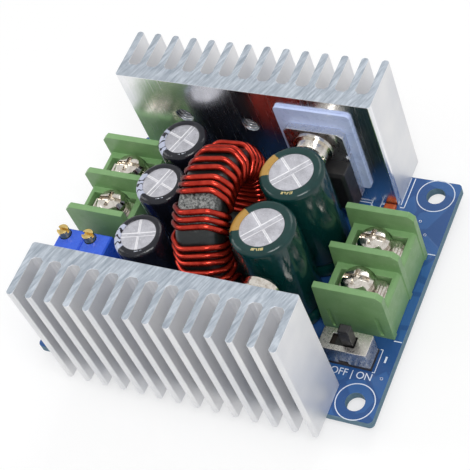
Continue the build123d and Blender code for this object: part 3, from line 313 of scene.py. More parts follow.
@dataclass(frozen=True)
class SolderMask(Finish):
    """Blue mask over laminate: copper areas show through it, and the cut edge is bare."""

    mask: Colour = (0.020, 0.082, 0.26)
    copper: Colour = (0.030, 0.115, 0.33)
    dust: Colour = (0.16, 0.28, 0.48)
    edge: Colour = (0.10, 0.19, 0.27)
    weave: Colour = (0.20, 0.33, 0.42)

    def write(self, book: NodeBook) -> bpy.types.Material:
        """Write the mask with its copper pattern on both faces, and the edge."""
        cell = book.cells(0.17, "F1", "Color")
        island = book.level(book.part(cell, Axis.X), 0.40, 0.42)
        border = book.level(book.cells(0.17, "DISTANCE_TO_EDGE"), 0.05, 0.075)
        pour = book.product(island, border)
        dust = book.level(book.noise(2.4, 5.0, 0.7), 0.62, 0.76, 0.0, 0.35)
        face = book.blend(pour, self.mask, self.copper)
        face = book.blend(dust, face, self.dust)
        weave = book.level(book.noise(1.5, 3.0, source=book.place((900.0, 900.0, 5200.0))), 0.3, 0.7)
        edge = book.blend(weave, self.edge, self.weave)
        is_face = book.level(book.facing(Axis.Z), 0.5, 0.7)
        height = book.count("ADD", pour, book.product(book.noise(5.0, 2.0), 0.25))
        rough = book.blend(is_face, (0.75, 0.75, 0.75), (0.27, 0.27, 0.27))
        return book.finish(Base_Color=book.blend(is_face, edge, face), Roughness=rough, IOR=1.5,
                           Normal=book.bump(height, 0.5, 0.03))


@dataclass(frozen=True)
class Enamel(Finish):
    """Clear red enamel over copper wire, thinner on the bends, with painted shade darkening each wire towards
    its edges.
    """

    deep: Colour = (0.33, 0.015, 0.008)
    bright: Colour = (0.60, 0.052, 0.028)
    # edge: colour of the painted shade where the wire's surface turns away from view.
    edge: Colour = (0.05, 0.002, 0.001)
    chafed: Colour = (0.95, 0.36, 0.17)
    rim: Colour = (0.60, 0.20, 0.16)

    def write(self, book: NodeBook) -> bpy.types.Material:
        """Write the enamel's depth, gloss and small runs, and the painted shade along the wire's edges."""
        tone = book.level(book.noise(0.6, 4.0, 0.6), 0.32, 0.68)
        colour = book.blend(tone, self.deep, self.bright)
        # Painted shade: the colour darkens to the edge colour as the surface turns away from view.
        aside = book.level(book.add("ShaderNodeLayerWeight").outputs["Facing"], 0.22, 0.76)
        colour = book.blend(aside, colour, self.edge)
        mark = book.level(book.noise(3.2, 5.0, 0.7), 0.66, 0.74, 0.0, 0.5)
        colour = book.blend(mark, colour, self.chafed)
        polish = book.level(tone, 0.0, 1.0, 0.20, 0.15)
        return book.finish(Base_Color=colour, Metallic=0.75, Roughness=polish, Specular_Tint=paint(self.rim),
                           Coat_Weight=0.20, Coat_Roughness=0.08, IOR=1.5,
                           Normal=book.bump(book.noise(2.8, 3.0), 0.25, 0.02))


@dataclass(frozen=True)
class CoreCoat(Finish):
    """Dark dipped coat of a powder core, with a pale worn patch on its front."""

    coat: Colour = (0.012, 0.016, 0.016)
    worn: Colour = (0.33, 0.34, 0.33)
    patch: Point = (0.4, -5.0, 25.6)
    reach: float = 4.3

    def write(self, book: NodeBook) -> bpy.types.Material:
        """Write the coat's skin and its worn patch."""
        gap = book.add("ShaderNodeVectorMath", operation="DISTANCE")
        for socket, value in zip(gap.inputs, (book.mm, self.patch)):
            book.feed(socket, value)
        near = book.level(gap.outputs["Value"], self.reach * 0.55, self.reach, 1.0, 0.0)
        speck = book.level(book.noise(2.6, 5.0, 0.75), 0.42, 0.60)
        wear = book.product(near, speck)
        stray = book.level(book.noise(1.9, 5.0, 0.7), 0.66, 0.78, 0.0, 0.35)
        colour = book.blend(book.count("MAXIMUM", wear, stray), self.coat, self.worn)
        skin = book.cells(1.6, "SMOOTH_F1")
        return book.finish(Base_Color=colour, Roughness=book.level(wear, 0.0, 1.0, 0.30, 0.62), IOR=1.5,
                           Normal=book.bump(skin, 0.5, 0.10))


@dataclass(frozen=True)
class PrintedSleeve(Finish):
    """Shrunk sleeve with a printed stripe; u turns round the can and v rises in millimetres."""

    film: Colour
    print_colour: Colour
    stripe: float
    half_width: float
    top: float
    stroke_gap: float = 21.0

    def gaps(self, book: NodeBook, turn: bpy.types.NodeSocket, rise: bpy.types.NodeSocket,
             aside: bpy.types.NodeSocket) -> bpy.types.NodeSocket:
        """Where the stripe is broken: slanted dashes down the wall, strokes over the lip.

        Args:
            book: Book of the sleeve's material.
            turn: Degrees round the can.
            rise: Height in millimetres.
            aside: Degrees from the stripe's middle.

        Returns:
            One in a gap, nought in the print.
        """
        on_lip = book.level(rise, BOARD_TOP + self.top - 0.5, BOARD_TOP + self.top - 0.2)
        slant = book.count("ADD", rise, book.product(turn, 0.045))
        dash = book.level(book.beat(book.product(slant, 0.42)), 0.14, 0.18, 1.0, 0.0)
        inner = book.level(aside, self.half_width * 0.42, self.half_width * 0.48, 1.0, 0.0)
        dash = book.product(dash, book.product(inner, book.rest(on_lip)))
        swing = book.count("ADD", turn, book.level(book.noise(0.9, 1.0), 0.3, 0.7, -9.0, 9.0))
        stroke = book.level(book.beat(book.count("DIVIDE", swing, self.stroke_gap)), 0.11, 0.16, 1.0, 0.0)
        return book.count("MAXIMUM", dash, book.product(stroke, on_lip))

    def write(self, book: NodeBook) -> bpy.types.Material:
        """Write the film, the broken stripe and the shrink wrinkles."""
        turn = book.product(book.part(book.source.outputs["UV"], Axis.X), 360.0)
        rise = book.part(book.source.outputs["UV"], Axis.Y)
        aside = book.count("ABSOLUTE", book.count("SUBTRACT", turn, self.stripe))
        ragged = book.count("ADD", aside, book.level(book.noise(2.5, 3.0), 0.3, 0.7, -1.2, 1.2))
        stripe = book.level(ragged, self.half_width - 1.0, self.half_width + 1.0, 1.0, 0.0)
        stripe = book.product(stripe, book.rest(self.gaps(book, turn, rise, aside)))
        worn = book.level(book.noise(3.0, 4.0, 0.7), 0.60, 0.72, 0.0, 0.6)
        stripe = book.product(stripe, book.rest(worn))
        haze = book.level(book.noise(0.8, 4.0, 0.6), 0.35, 0.75, 0.0, 0.35)
        hazy = tuple(1.9 * part + 0.003 for part in self.film)
        film = book.blend(haze, self.film, hazy)
        fold = book.noise(1.0, 3.0, 0.5, 0.6, source=book.place((420.0, 420.0, 120.0)))
        skin = book.bump(book.noise(6.0, 2.0), 0.12, 0.02, book.bump(fold, 0.9, 0.14))
        return book.finish(Base_Color=book.blend(stripe, film, self.print_colour),
                           Roughness=book.level(haze, 0.0, 0.35, 0.12, 0.24), IOR=1.54,
                           Specular_IOR_Level=0.36, Normal=skin)


@dataclass(frozen=True)
class ScoredTop(Finish):
    """Bare drawn top of a can, finely grained, with spatter of handling marks."""

    colour: Colour = (0.47, 0.47, 0.51)
    patch: Colour = (0.64, 0.64, 0.69)
    grain: Colour = (0.22, 0.22, 0.25)
    spatter: Colour = (0.92, 0.92, 0.95)

    def write(self, book: NodeBook) -> bpy.types.Material:
        """Write the grain and the marks."""
        grain = book.noise(5.5, 5.0, 0.75)
        patch = book.level(book.noise(0.7, 4.0, 0.6), 0.35, 0.7)
        pit = book.level(book.cells(1.5), 0.10, 0.16, 1.0, 0.0)
        colour = book.blend(patch, self.colour, self.patch)
        colour = book.blend(book.product(book.level(grain, 0.5, 0.72), 0.7), colour, self.grain)
        colour = book.blend(book.product(pit, 0.5), colour, self.spatter)
        polish = book.level(grain, 0.3, 0.7, 0.34, 0.55)
        return book.finish(Base_Color=colour, Metallic=0.85, Roughness=polish,
                           Normal=book.bump(grain, 0.5, 0.04))


@dataclass(frozen=True)
class ScoreFlankHighlight(Finish):
    """Sloped side of a pressed score, painted brighter than the can top as a painted highlight."""

    # Painted highlight: a pale, barely metallic copy of the can top's metal.
    colour: Colour = (0.90, 0.90, 0.93)
    dull: Colour = (0.62, 0.62, 0.66)

    def write(self, book: NodeBook) -> bpy.types.Material:
        """Write the painted highlight on the score's sides, dull in places."""
        worn = book.level(book.noise(2.2, 4.0, 0.6), 0.45, 0.7, 0.0, 0.6)
        colour = book.blend(worn, self.colour, self.dull)
        return book.finish(Base_Color=colour, Metallic=0.35, Roughness=book.level(worn, 0.0, 0.6, 0.30, 0.5))


@dataclass(frozen=True)
class ClearResin(Finish):
    """Small tinted resin lens."""

    tint: Colour = (0.85, 0.09, 0.02)
    cloud: Colour = (0.95, 0.25, 0.08)

    def write(self, book: NodeBook) -> bpy.types.Material:
        """Write the resin's tint and its cloudy depth."""
        cloud = book.level(book.noise(1.5, 3.0), 0.3, 0.7)
        colour = book.blend(cloud, self.tint, self.cloud)
        return book.finish(Base_Color=colour, Roughness=0.18, IOR=1.52, Transmission_Weight=0.35,
                           Subsurface_Weight=0.2, Subsurface_Scale=0.001)


@dataclass(frozen=True)
class PrintedInk(Finish):
    """White screen print, thin in places."""

    ink: Colour = (0.74, 0.80, 0.90)
    thin: Colour = (0.25, 0.38, 0.62)

    def write(self, book: NodeBook) -> bpy.types.Material:
        """Write the ink with its thin spots."""
        thin = book.level(book.noise(4.0, 4.0, 0.7), 0.55, 0.72, 0.0, 0.7)
        return book.finish(Base_Color=book.blend(thin, self.ink, self.thin), Roughness=0.55)


@dataclass(frozen=True)
class PaleFloor(Finish):
    """Floor that the camera and reflections see as pale, and that keeps the shadow."""

    diffuse: float = 0.42
    lift: float = 0.60

    def write(self, book: NodeBook) -> bpy.types.Material:
        """Write the floor's own light for the rays that look at it."""
        rays = book.add("ShaderNodeLightPath")
        seen = book.count("MAXIMUM", rays.outputs["Is Camera Ray"], rays.outputs["Is Glossy Ray"])
        seen = book.count("MAXIMUM", seen, rays.outputs["Is Transmission Ray"])
        strength = book.product(seen, self.lift)
        under = book.add("ShaderNodeNewGeometry").outputs["Backfacing"]
        clear = book.add("ShaderNodeBsdfTransparent")
        either = book.add("ShaderNodeMixShader")
        for socket, value in zip(either.inputs, (under, book.shader.outputs[0], clear.outputs[0])):
            book.feed(socket, value)
        book.feed(book.tree.nodes["Material Output"].inputs["Surface"], either.outputs[0])
        return book.finish(Base_Color=paint((self.diffuse,) * 3), Roughness=0.9, Specular_IOR_Level=0.0,
                           Emission_Color=paint((1.0, 1.0, 1.0)), Emission_Strength=strength)


class Look(Enum):
    """Every finish of the module, by the record's slot or by its own name."""

    BOARD = SolderMask("solder_mask")
    HEATSINK = SawnExtrusion("sawn_extrusion")
    PAD = Moulding("silicone_pad", (0.52, 0.62, 0.93), (0.70, 0.78, 0.98), 0.28, 3.0)
    BLACK_MOULDING = Moulding("black_moulding", (0.010, 0.010, 0.012), (0.045, 0.043, 0.042), 0.38, 7.0)
    TINNED_METAL = Metal("tinned_metal", (0.72, 0.73, 0.76), (0.46, 0.46, 0.48), 0.28, (1.0, 1.0, 0.4),
                         grain=1.6, depth=0.004, stained=0.3)
    BUSH = Moulding("bush_moulding", (0.030, 0.020, 0.015), (0.10, 0.07, 0.05), 0.4)
    # The nickel plate's dark brown patches are painted reflection of dark surroundings, not stains.
    NICKEL = Metal("nickel_plate", (0.74, 0.70, 0.64), (0.24, 0.18, 0.13), 0.11, grain=1.3, depth=0.10,
                   stained=0.60)
    GREEN_MOULDING = Moulding("green_moulding", (0.190, 0.365, 0.145), (0.34, 0.54, 0.27), 0.38, 6.0)
    BLUE_MOULDING = Moulding("blue_moulding", (0.030, 0.115, 0.74), (0.07, 0.20, 0.88), 0.27, 5.0)
    BRASS = Metal("turned_brass", (0.74, 0.55, 0.21), (0.30, 0.20, 0.06), 0.20, (1.0, 1.0, 3.0),
                  grain=4.0, depth=0.02, stained=0.7)
    CAN = ScoredTop("scored_top")
    SCORE = ScoreFlankHighlight("score_flank_painted_highlight")
    BLACK_SLEEVE = PrintedSleeve("black_sleeve", film=(0.007, 0.008, 0.014), print_colour=(0.52, 0.56, 0.70),
                                 stripe=197.5, half_width=40.0, top=17.5)
    GREEN_SLEEVE = PrintedSleeve("green_sleeve", film=(0.002, 0.033, 0.031), print_colour=(0.50, 0.29, 0.07),
                                 stripe=173.0, half_width=27.0, top=21.5, stroke_gap=1000.0)
    SEAL = Moulding("rubber_seal", (0.012, 0.012, 0.012), (0.05, 0.05, 0.05), 0.6)
    CORE = CoreCoat("core_coat")
    ENAMELLED_WIRE = Enamel("wire_enamel")
    SWITCH_METAL = Metal("switch_metal", (0.68, 0.65, 0.61), (0.44, 0.40, 0.36), 0.30,
                         grain=3.5, depth=0.015, stained=0.35)
    LAMP = ClearResin("lamp_resin")
    CHIP_CERAMIC = Moulding("chip_ceramic", (0.30, 0.20, 0.12), (0.45, 0.33, 0.22), 0.5)
    SOLDER = Metal("solder_metal", (0.70, 0.71, 0.73), (0.45, 0.45, 0.46), 0.22, grain=1.2, depth=0.06)
    THREAD = Metal("cut_thread", (0.70, 0.70, 0.71), (0.25, 0.25, 0.26), 0.20, grain=2.0, stained=0.5)
    SWITCH_BASE = Moulding("switch_base_moulding", (0.028, 0.022, 0.018), (0.10, 0.08, 0.065), 0.5)
    INK = PrintedInk("screen_print")
    GOLD_PRINT = PrintedInk("gold_print", (0.62, 0.52, 0.22))
    WHITE_PRINT = PrintedInk("white_print", (0.62, 0.66, 0.74))
    FLOOR = PaleFloor("pale_floor")


def look_of(node: str) -> Look:
    """Finish of a node after its record slot."""
    return Look[SLOT_OF[node].upper()]


def points_mm(points: Iterable[Point]) -> list[Vector]:
    """Points given in millimetres, in metres."""
    return [Vector(point) * MM for point in points]


def linked(name: str, mesh: bpy.types.Mesh) -> bpy.types.Object:
    """Object of a mesh in the scene's collection."""
    piece = bpy.data.objects.new(name, mesh)
    bpy.context.scene.collection.objects.link(piece)
    return piece


def written(name: str, work: bmesh.types.BMesh) -> bpy.types.Object:
    """Object of a finished bmesh, its faces turned outward and smooth.

    Args:
        name: Name of the piece.
        work: The mesh being built; it is freed here.

    Returns:
        The linked object.
    """
    bmesh.ops.recalc_face_normals(work, faces=work.faces)
    mesh = bpy.data.meshes.new(name)
    work.to_mesh(mesh)
    work.free()
    mesh.shade_smooth()
    return linked(name, mesh)


def baked(piece: bpy.types.Object) -> bpy.types.Object:
    """The object with its modifiers made into its own mesh.

    Args:
        piece: Object whose modifiers are applied and removed.

    Returns:
        The same object.
    """
    depsgraph = bpy.context.evaluated_depsgraph_get()
    mesh = bpy.data.meshes.new_from_object(piece.evaluated_get(depsgraph))
    piece.modifiers.clear()
    piece.data = mesh
    return piece


def dressed(piece: bpy.types.Object, look: Look, body: str,
            stands_for: Sequence[str] = ()) -> bpy.types.Object:
    """Give a piece its finish and body, and hide the CAD nodes it stands for.

    Args:
        piece: Finished object, already in place.
        look: Its finish.
        body: CAD body it moves with.
        stands_for: CAD nodes it replaces.

    Returns:
        The same object.
    """
    piece.data.materials.clear()
    piece.data.materials.append(look.value.material())
    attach(piece, body)
    if stands_for:
        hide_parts(*stands_for)
    LOG.info("piece %s on %s: %d faces", piece.name, body, len(piece.data.polygons))
    return piece


def merged(node: str) -> bmesh.types.BMesh:
    """Copy of a CAD node with its corners joined, its flat faces whole and its stored normals dropped."""
    mesh = frame["nodes"][node].data.copy()
    stored = mesh.attributes.get("custom_normal")
    if stored is not None:
        mesh.attributes.remove(stored)
    work = bmesh.new()
    work.from_mesh(mesh)
    bpy.data.meshes.remove(mesh)
    bmesh.ops.remove_doubles(work, verts=work.verts, dist=JOIN_REACH)
    bmesh.ops.dissolve_limit(work, angle_limit=math.radians(1.0), verts=work.verts, edges=work.edges)
    return work


def bevel(piece: bpy.types.Object, width: float, segments: int, angle: float) -> bpy.types.Modifier:
    """Add a bevel to the edges that bend by more than an angle.

    Args:
        piece: Object to be rounded.
        width: Width of the rounding, in millimetres.
        segments: Steps of the rounding.
        angle: Least bend, in degrees.

    Returns:
        The modifier.
    """
    edges = piece.modifiers.new("edges", "BEVEL")
    edges.width = width * MM
    edges.segments = segments
    edges.limit_method = "ANGLE"
    edges.angle_limit = math.radians(angle)
    return edges


def softened(node: str, width: float, look: Optional[Look] = None, segments: int = 2) -> bpy.types.Object:
    """Merged copy of a CAD node with small rounded edges, standing for the node.

    Args:
        node: CAD node.
        width: Width of the rounding, in millimetres.
        look: Finish, where it isn't the one of the node's slot.
        segments: Steps of the rounding.

    Returns:
        The dressed copy.
    """
    piece = written(f"{node}_look", merged(node))
    edges = bevel(piece, width, segments, 35.0)
    edges.harden_normals = True
    baked(piece)
    return dressed(piece, look or look_of(node), BODY_OF[node], [node])


def domed(node: str, look: Look, drop: float, height: float, width: float) -> bpy.types.Object:
    """Merged copy of an upright screw whose flat head is rounded to a dome.

    Args:
        node: CAD node of the screw.
        look: Finish.
        drop: How far the head's rim lies below its middle, in millimetres.
        height: Height of the head, in millimetres.
        width: Width of its rounded edges, in millimetres.

    Returns:
        The dressed copy.
    """
    low, high = node_box(node)
    middle = (low + high) / 2 * MM
    reach = (high.x - low.x) / 2 * MM
    work = merged(node)
    cuts = (-0.75, -0.5, -0.25, 0.0, 0.25, 0.5, 0.75)
    collar, easing = 0.3, 0.4
    for across in (Vector((1, 0, 0)), Vector((0, 1, 0))):
        for step in cuts:
            bmesh.ops.bisect_plane(work, geom=work.verts[:] + work.edges[:] + work.faces[:], dist=1e-7,
                                   plane_co=middle + across * reach * step, plane_no=across)
    for vertex in work.verts:
        share = (vertex.co.z / MM - (high.z - height)) / height
        if share > collar:
            out = (vertex.co - middle).to_2d().length / reach
            vertex.co.z -= drop * MM * out * out * min(1.0, (share - collar) / easing)
    piece = written(f"{node}_look", work)
    bevel(piece, width, 3, 32.0)
    baked(piece)
    return dressed(piece, look, BODY_OF[node], [node])


def revolved(name: str, profile: Sequence[tuple[float, float]], steps: int,
             place: Matrix) -> bpy.types.Object:
    """Closed ring swept by a closed profile round the local Z axis, with u round it and v along Z.

    Args:
        name: Name of the piece.
        profile: Radius and height of each corner in millimetres, in order.
        steps: Steps of the turn.
        place: Where the local frame stands, in metres.

    Returns:
        The linked object.
    """
    work = bmesh.new()
    layer = work.loops.layers.uv.new("UVMap")
    rings = []
    for turn in (2 * math.pi * step / steps for step in range(steps)):
        spots = [Vector((radius * math.cos(turn), radius * math.sin(turn), height)) * MM
                 for radius, height in profile]
        rings.append([work.verts.new(place @ spot) for spot in spots])
    count = len(profile)
    for step in range(steps):
        ring, following = rings[step], rings[(step + 1) % steps]
        for corner in range(count):
            after = (corner + 1) % count
            face = work.faces.new((ring[corner], following[corner], following[after], ring[after]))
            marks = ((step, corner), (step + 1, corner), (step + 1, after), (step, after))
            for loop, (turn, index) in zip(face.loops, marks):
                loop[layer].uv = (turn / steps, profile[index][1])
    return written(name, work)


class Recipe(Wiring):
    """One Geometry Nodes tree with named sizes, made into plain meshes."""

    def __init__(self, name: str, **sizes: float) -> None:
        """Start a tree with a geometry input and named sizes.

        Args:
            name: Name of the tree.
            sizes: Default of each named input, in metres or radians.
        """
        super().__init__(bpy.data.node_groups.new(name, "GeometryNodeTree"))
        self.tree.is_modifier = True
        face = self.tree.interface
        face.new_socket("Geometry", in_out="INPUT", socket_type="NodeSocketGeometry")
        self.keys: dict[str, str] = {}
        for label, value in sizes.items():
            socket = face.new_socket(label, in_out="INPUT", socket_type="NodeSocketFloat")
            socket.default_value = value
            self.keys[label] = socket.identifier
        face.new_socket("Geometry", in_out="OUTPUT", socket_type="NodeSocketGeometry")
        self.start = self.add("NodeGroupInput")

    def size(self, label: str) -> bpy.types.NodeSocket:
        """Output of a named size, or the carrier's Geometry."""
        return self.start.outputs[label]

    def circle(self, label: str, steps: int) -> bpy.types.NodeSocket:
        """Circle whose radius is a named size."""
        ring = self.add("GeometryNodeCurvePrimitiveCircle", {"Radius": self.size(label), "Resolution": steps})
        return ring.outputs[0]

    def swept(self, path: bpy.types.NodeSocket, section: bpy.types.NodeSocket) -> bpy.types.NodeSocket:
        """Closed tube of a section along a path."""
        tube = self.add("GeometryNodeCurveToMesh", {
            "Curve": path, "Profile Curve": section, "Fill Caps": True})
        return tube.outputs[0]

    def spread(self, instance: bpy.types.NodeSocket, **inputs: Value) -> bpy.types.NodeSocket:
        """One instance on each point of the carrier."""
        node = self.add("GeometryNodeInstanceOnPoints",
                        {"Points": self.size("Geometry"), "Instance": instance, **inputs})
        return node.outputs[0]

    def close(self, geometry: bpy.types.NodeSocket, look: Look, smooth: bool = True) -> None:
        """End the tree with Realize Instances and Set Material."""
        real = self.add("GeometryNodeRealizeInstances", {"Geometry": geometry}).outputs[0]
        shade = self.add("GeometryNodeSetShadeSmooth", {"Geometry": real, "Shade Smooth": smooth}).outputs[0]
        coat = self.add("GeometryNodeSetMaterial", {"Geometry": shade, "Material": look.value.material()})
        self.feed(self.add("NodeGroupOutput").inputs[0], coat.outputs[0])

    def apply(self, name: str, points: Sequence[Point], edges: Sequence[tuple[int, int]] = (),
              **sizes: float) -> bpy.types.Object:
        """Run the tree over a carrier of points and edges.

        Args:
            name: Name of the piece.
            points: Carrier's points in millimetres.
            edges: Carrier's edges.
            sizes: Named inputs that differ from their default.

        Returns:
            An object with the result as its plain mesh.
        """
        mesh = bpy.data.meshes.new(name)
        mesh.from_pydata(points_mm(points), list(edges), [])
        piece = linked(name, mesh)
        modifier = piece.modifiers.new("recipe", "NODES")
        modifier.node_group = self.tree
        for label, value in sizes.items():
            modifier[self.keys[label]] = value
        return baked(piece)


def chain(points: Sequence[Point], closed: bool = False, start: int = 0) -> list[tuple[int, int]]:
    """Edges that join points in order."""
    edges = [(start + index, start + index + 1) for index in range(len(points) - 1)]
    return edges + [(start + len(points) - 1, start)] if closed else edges


def wire_recipe() -> Recipe:
    """Round wire along a polyline, its corners bent to a radius."""
    recipe = Recipe("wire_along_path", wire_radius=0.48 * MM, bend_radius=1.9 * MM)
    curve = recipe.add("GeometryNodeMeshToCurve", {"Mesh": recipe.size("Geometry")})
    bent = recipe.add("GeometryNodeFilletCurve", {
        "Curve": curve.outputs[0], "Radius": recipe.size("bend_radius"), "Limit Radius": True,
        "Count": 4}, mode="POLY")
    recipe.close(recipe.swept(bent.outputs[0], recipe.circle("wire_radius", 14)), Look.ENAMELLED_WIRE)
    return recipe


def stroke_recipe() -> Recipe:
    """Flat printed line along a polyline."""
    recipe = Recipe("printed_stroke", line_width=0.16 * MM, line_height=0.02 * MM)
    curve = recipe.add("GeometryNodeMeshToCurve", {"Mesh": recipe.size("Geometry")})
    level = recipe.add("GeometryNodeSetCurveNormal", {"Curve": curve.outputs[0]}, mode="Z_UP")
    bar = recipe.add("GeometryNodeCurvePrimitiveQuadrilateral", {
        "Width": recipe.size("line_width"), "Height": recipe.size("line_height")})
    recipe.close(recipe.swept(level.outputs[0], bar.outputs[0]), Look.INK, smooth=False)
    return recipe


def via_recipe() -> Recipe:
    """Small plated ring on each point."""
    recipe = Recipe("via_on_point", ring_radius=0.21 * MM, wall=0.045 * MM)
    ring = recipe.swept(recipe.circle("ring_radius", 16), recipe.circle("wall", 6))
    recipe.close(recipe.spread(ring), Look.TINNED_METAL)
    return recipe


def joint_recipe() -> Recipe:
    """Hollow-sided solder cone with the cut lead standing out of it, hung under each point."""
    recipe = Recipe("solder_joint", foot=1.0 * MM, neck=0.42 * MM, rise=1.0 * MM, lead=0.36 * MM,
                    reach=1.7 * MM)
    waist_share = 0.74
    tip_share = 0.8
    cone = recipe.add("GeometryNodeMeshCone", {
        "Vertices": 20, "Side Segments": 6, "Radius Top": recipe.size("neck"),
        "Radius Bottom": recipe.size("foot"), "Depth": recipe.size("rise")})
    place = recipe.add("GeometryNodeInputPosition").outputs[0]
    height = recipe.add("ShaderNodeSeparateXYZ", {"Vector": place}).outputs[2]
    share = recipe.add("ShaderNodeMapRange", {"Value": recipe.count("DIVIDE", height, recipe.size("rise"))})
    near_middle = recipe.count("PINGPONG", share.outputs[0], 0.5)
    slim = recipe.add("ShaderNodeMapRange", {
        "Value": near_middle, "From Max": 0.5, "To Min": 1.0, "To Max": waist_share}).outputs[0]
    factor = recipe.add("ShaderNodeCombineXYZ", {"X": slim, "Y": slim, "Z": 1.0})
    moved = recipe.add("ShaderNodeVectorMath", operation="MULTIPLY")
    for socket, value in zip(moved.inputs, (place, factor.outputs[0])):
        recipe.feed(socket, value)
    hollow = recipe.add("GeometryNodeSetPosition", {
        "Geometry": cone.outputs[0], "Position": moved.outputs[0]})
    pin = recipe.add("GeometryNodeMeshCone", {
        "Vertices": 14, "Side Segments": 2, "Radius Top": recipe.product(recipe.size("lead"), tip_share),
        "Radius Bottom": recipe.size("lead"), "Depth": recipe.size("reach")})
    both = recipe.add("GeometryNodeJoinGeometry", {"Geometry": hollow.outputs[0]})
    recipe.feed(both.inputs[0], pin.outputs[0])
    turned = recipe.add("GeometryNodeTransform", {
        "Geometry": both.outputs[0], "Rotation": (math.pi, 0.0, 0.0)})
    recipe.close(recipe.spread(turned.outputs[0]), Look.SOLDER)
    return recipe


def thread_recipe() -> Recipe:
    """Screw thread cut inside a hole, on each point, its axis turned from Z towards Y."""
    recipe = Recipe("thread_in_hole", radius=1.42 * MM, depth=2.0 * MM, crest=0.13 * MM, turn=-math.pi / 2)
    wind = recipe.add("GeometryNodeCurveSpiral", {
        "Resolution": 24, "Rotations": 4.0, "Start Radius": recipe.size("radius"),
        "End Radius": recipe.size("radius"), "Height": recipe.size("depth")})
    tilt = recipe.add("ShaderNodeCombineXYZ", {"X": recipe.size("turn")})
    thread = recipe.swept(wind.outputs[0], recipe.circle("crest", 6))
    recipe.close(recipe.spread(thread, Rotation=tilt.outputs[0]), Look.THREAD)
    return recipe


def lettering(name: str, text: str, low: Point, high: Point, height: float) -> bpy.types.Object:
    """Text as a thin mesh that fills a box on the board's top.

    Args:
        name: Name of the piece.
        text: What it reads.
        low: Left front corner in millimetres.
        high: Right rear corner in millimetres.
        height: Thickness in millimetres.

    Returns:
        The linked object.
    """
    curve = bpy.data.curves.new(name, "FONT")
    curve.body = text
    curve.extrude = 0.02
    source = bpy.data.objects.new(f"{name}_source", curve)
    bpy.context.scene.collection.objects.link(source)
    depsgraph = bpy.context.evaluated_depsgraph_get()
    mesh = bpy.data.meshes.new_from_object(source.evaluated_get(depsgraph))
    bpy.data.objects.remove(source)
    spots = [vertex.co.copy() for vertex in mesh.vertices]
    least = [min(spot[axis] for spot in spots) for axis in range(3)]
    most = [max(spot[axis] for spot in spots) for axis in range(3)]
    for vertex in mesh.vertices:
        share = [(vertex.co[axis] - least[axis]) / (most[axis] - least[axis]) for axis in range(3)]
        vertex.co = Vector((low[0] + share[0] * (high[0] - low[0]), low[1] + share[1] * (high[1] - low[1]),
                            low[2] + share[2] * height)) * MM
    return linked(name, mesh)


def node_box(node: str) -> tuple[Vector, Vector]:
    """Lowest and highest corner of a CAD node, in millimetres."""
    low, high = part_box(node)
    return low / MM, high / MM


def islands(node: str) -> list[Vector]:
    """Find the loose solids of a node.

    Args:
        node: CAD node.

    Returns:
        Middle of each solid in millimetres, from left to right.
    """
    work = bmesh.new()
    work.from_mesh(frame["nodes"][node].data)
    bmesh.ops.remove_doubles(work, verts=work.verts, dist=JOIN_REACH)
    left = set(work.verts)
    middles = []
    while left:
        group, edge = set(), [left.pop()]
        while edge:
            vertex = edge.pop()
            group.add(vertex)
            for link in vertex.link_edges:
                other = link.other_vert(vertex)
                if other in left:
                    left.remove(other)
                    edge.append(other)
        low = Vector([min(v.co[axis] for v in group) for axis in range(3)])
        high = Vector([max(v.co[axis] for v in group) for axis in range(3)])
        middles.append((low + high) / 2 / MM)
    work.free()
    return sorted(middles, key=lambda spot: (round(spot.x, 3), round(spot.y, 3)))


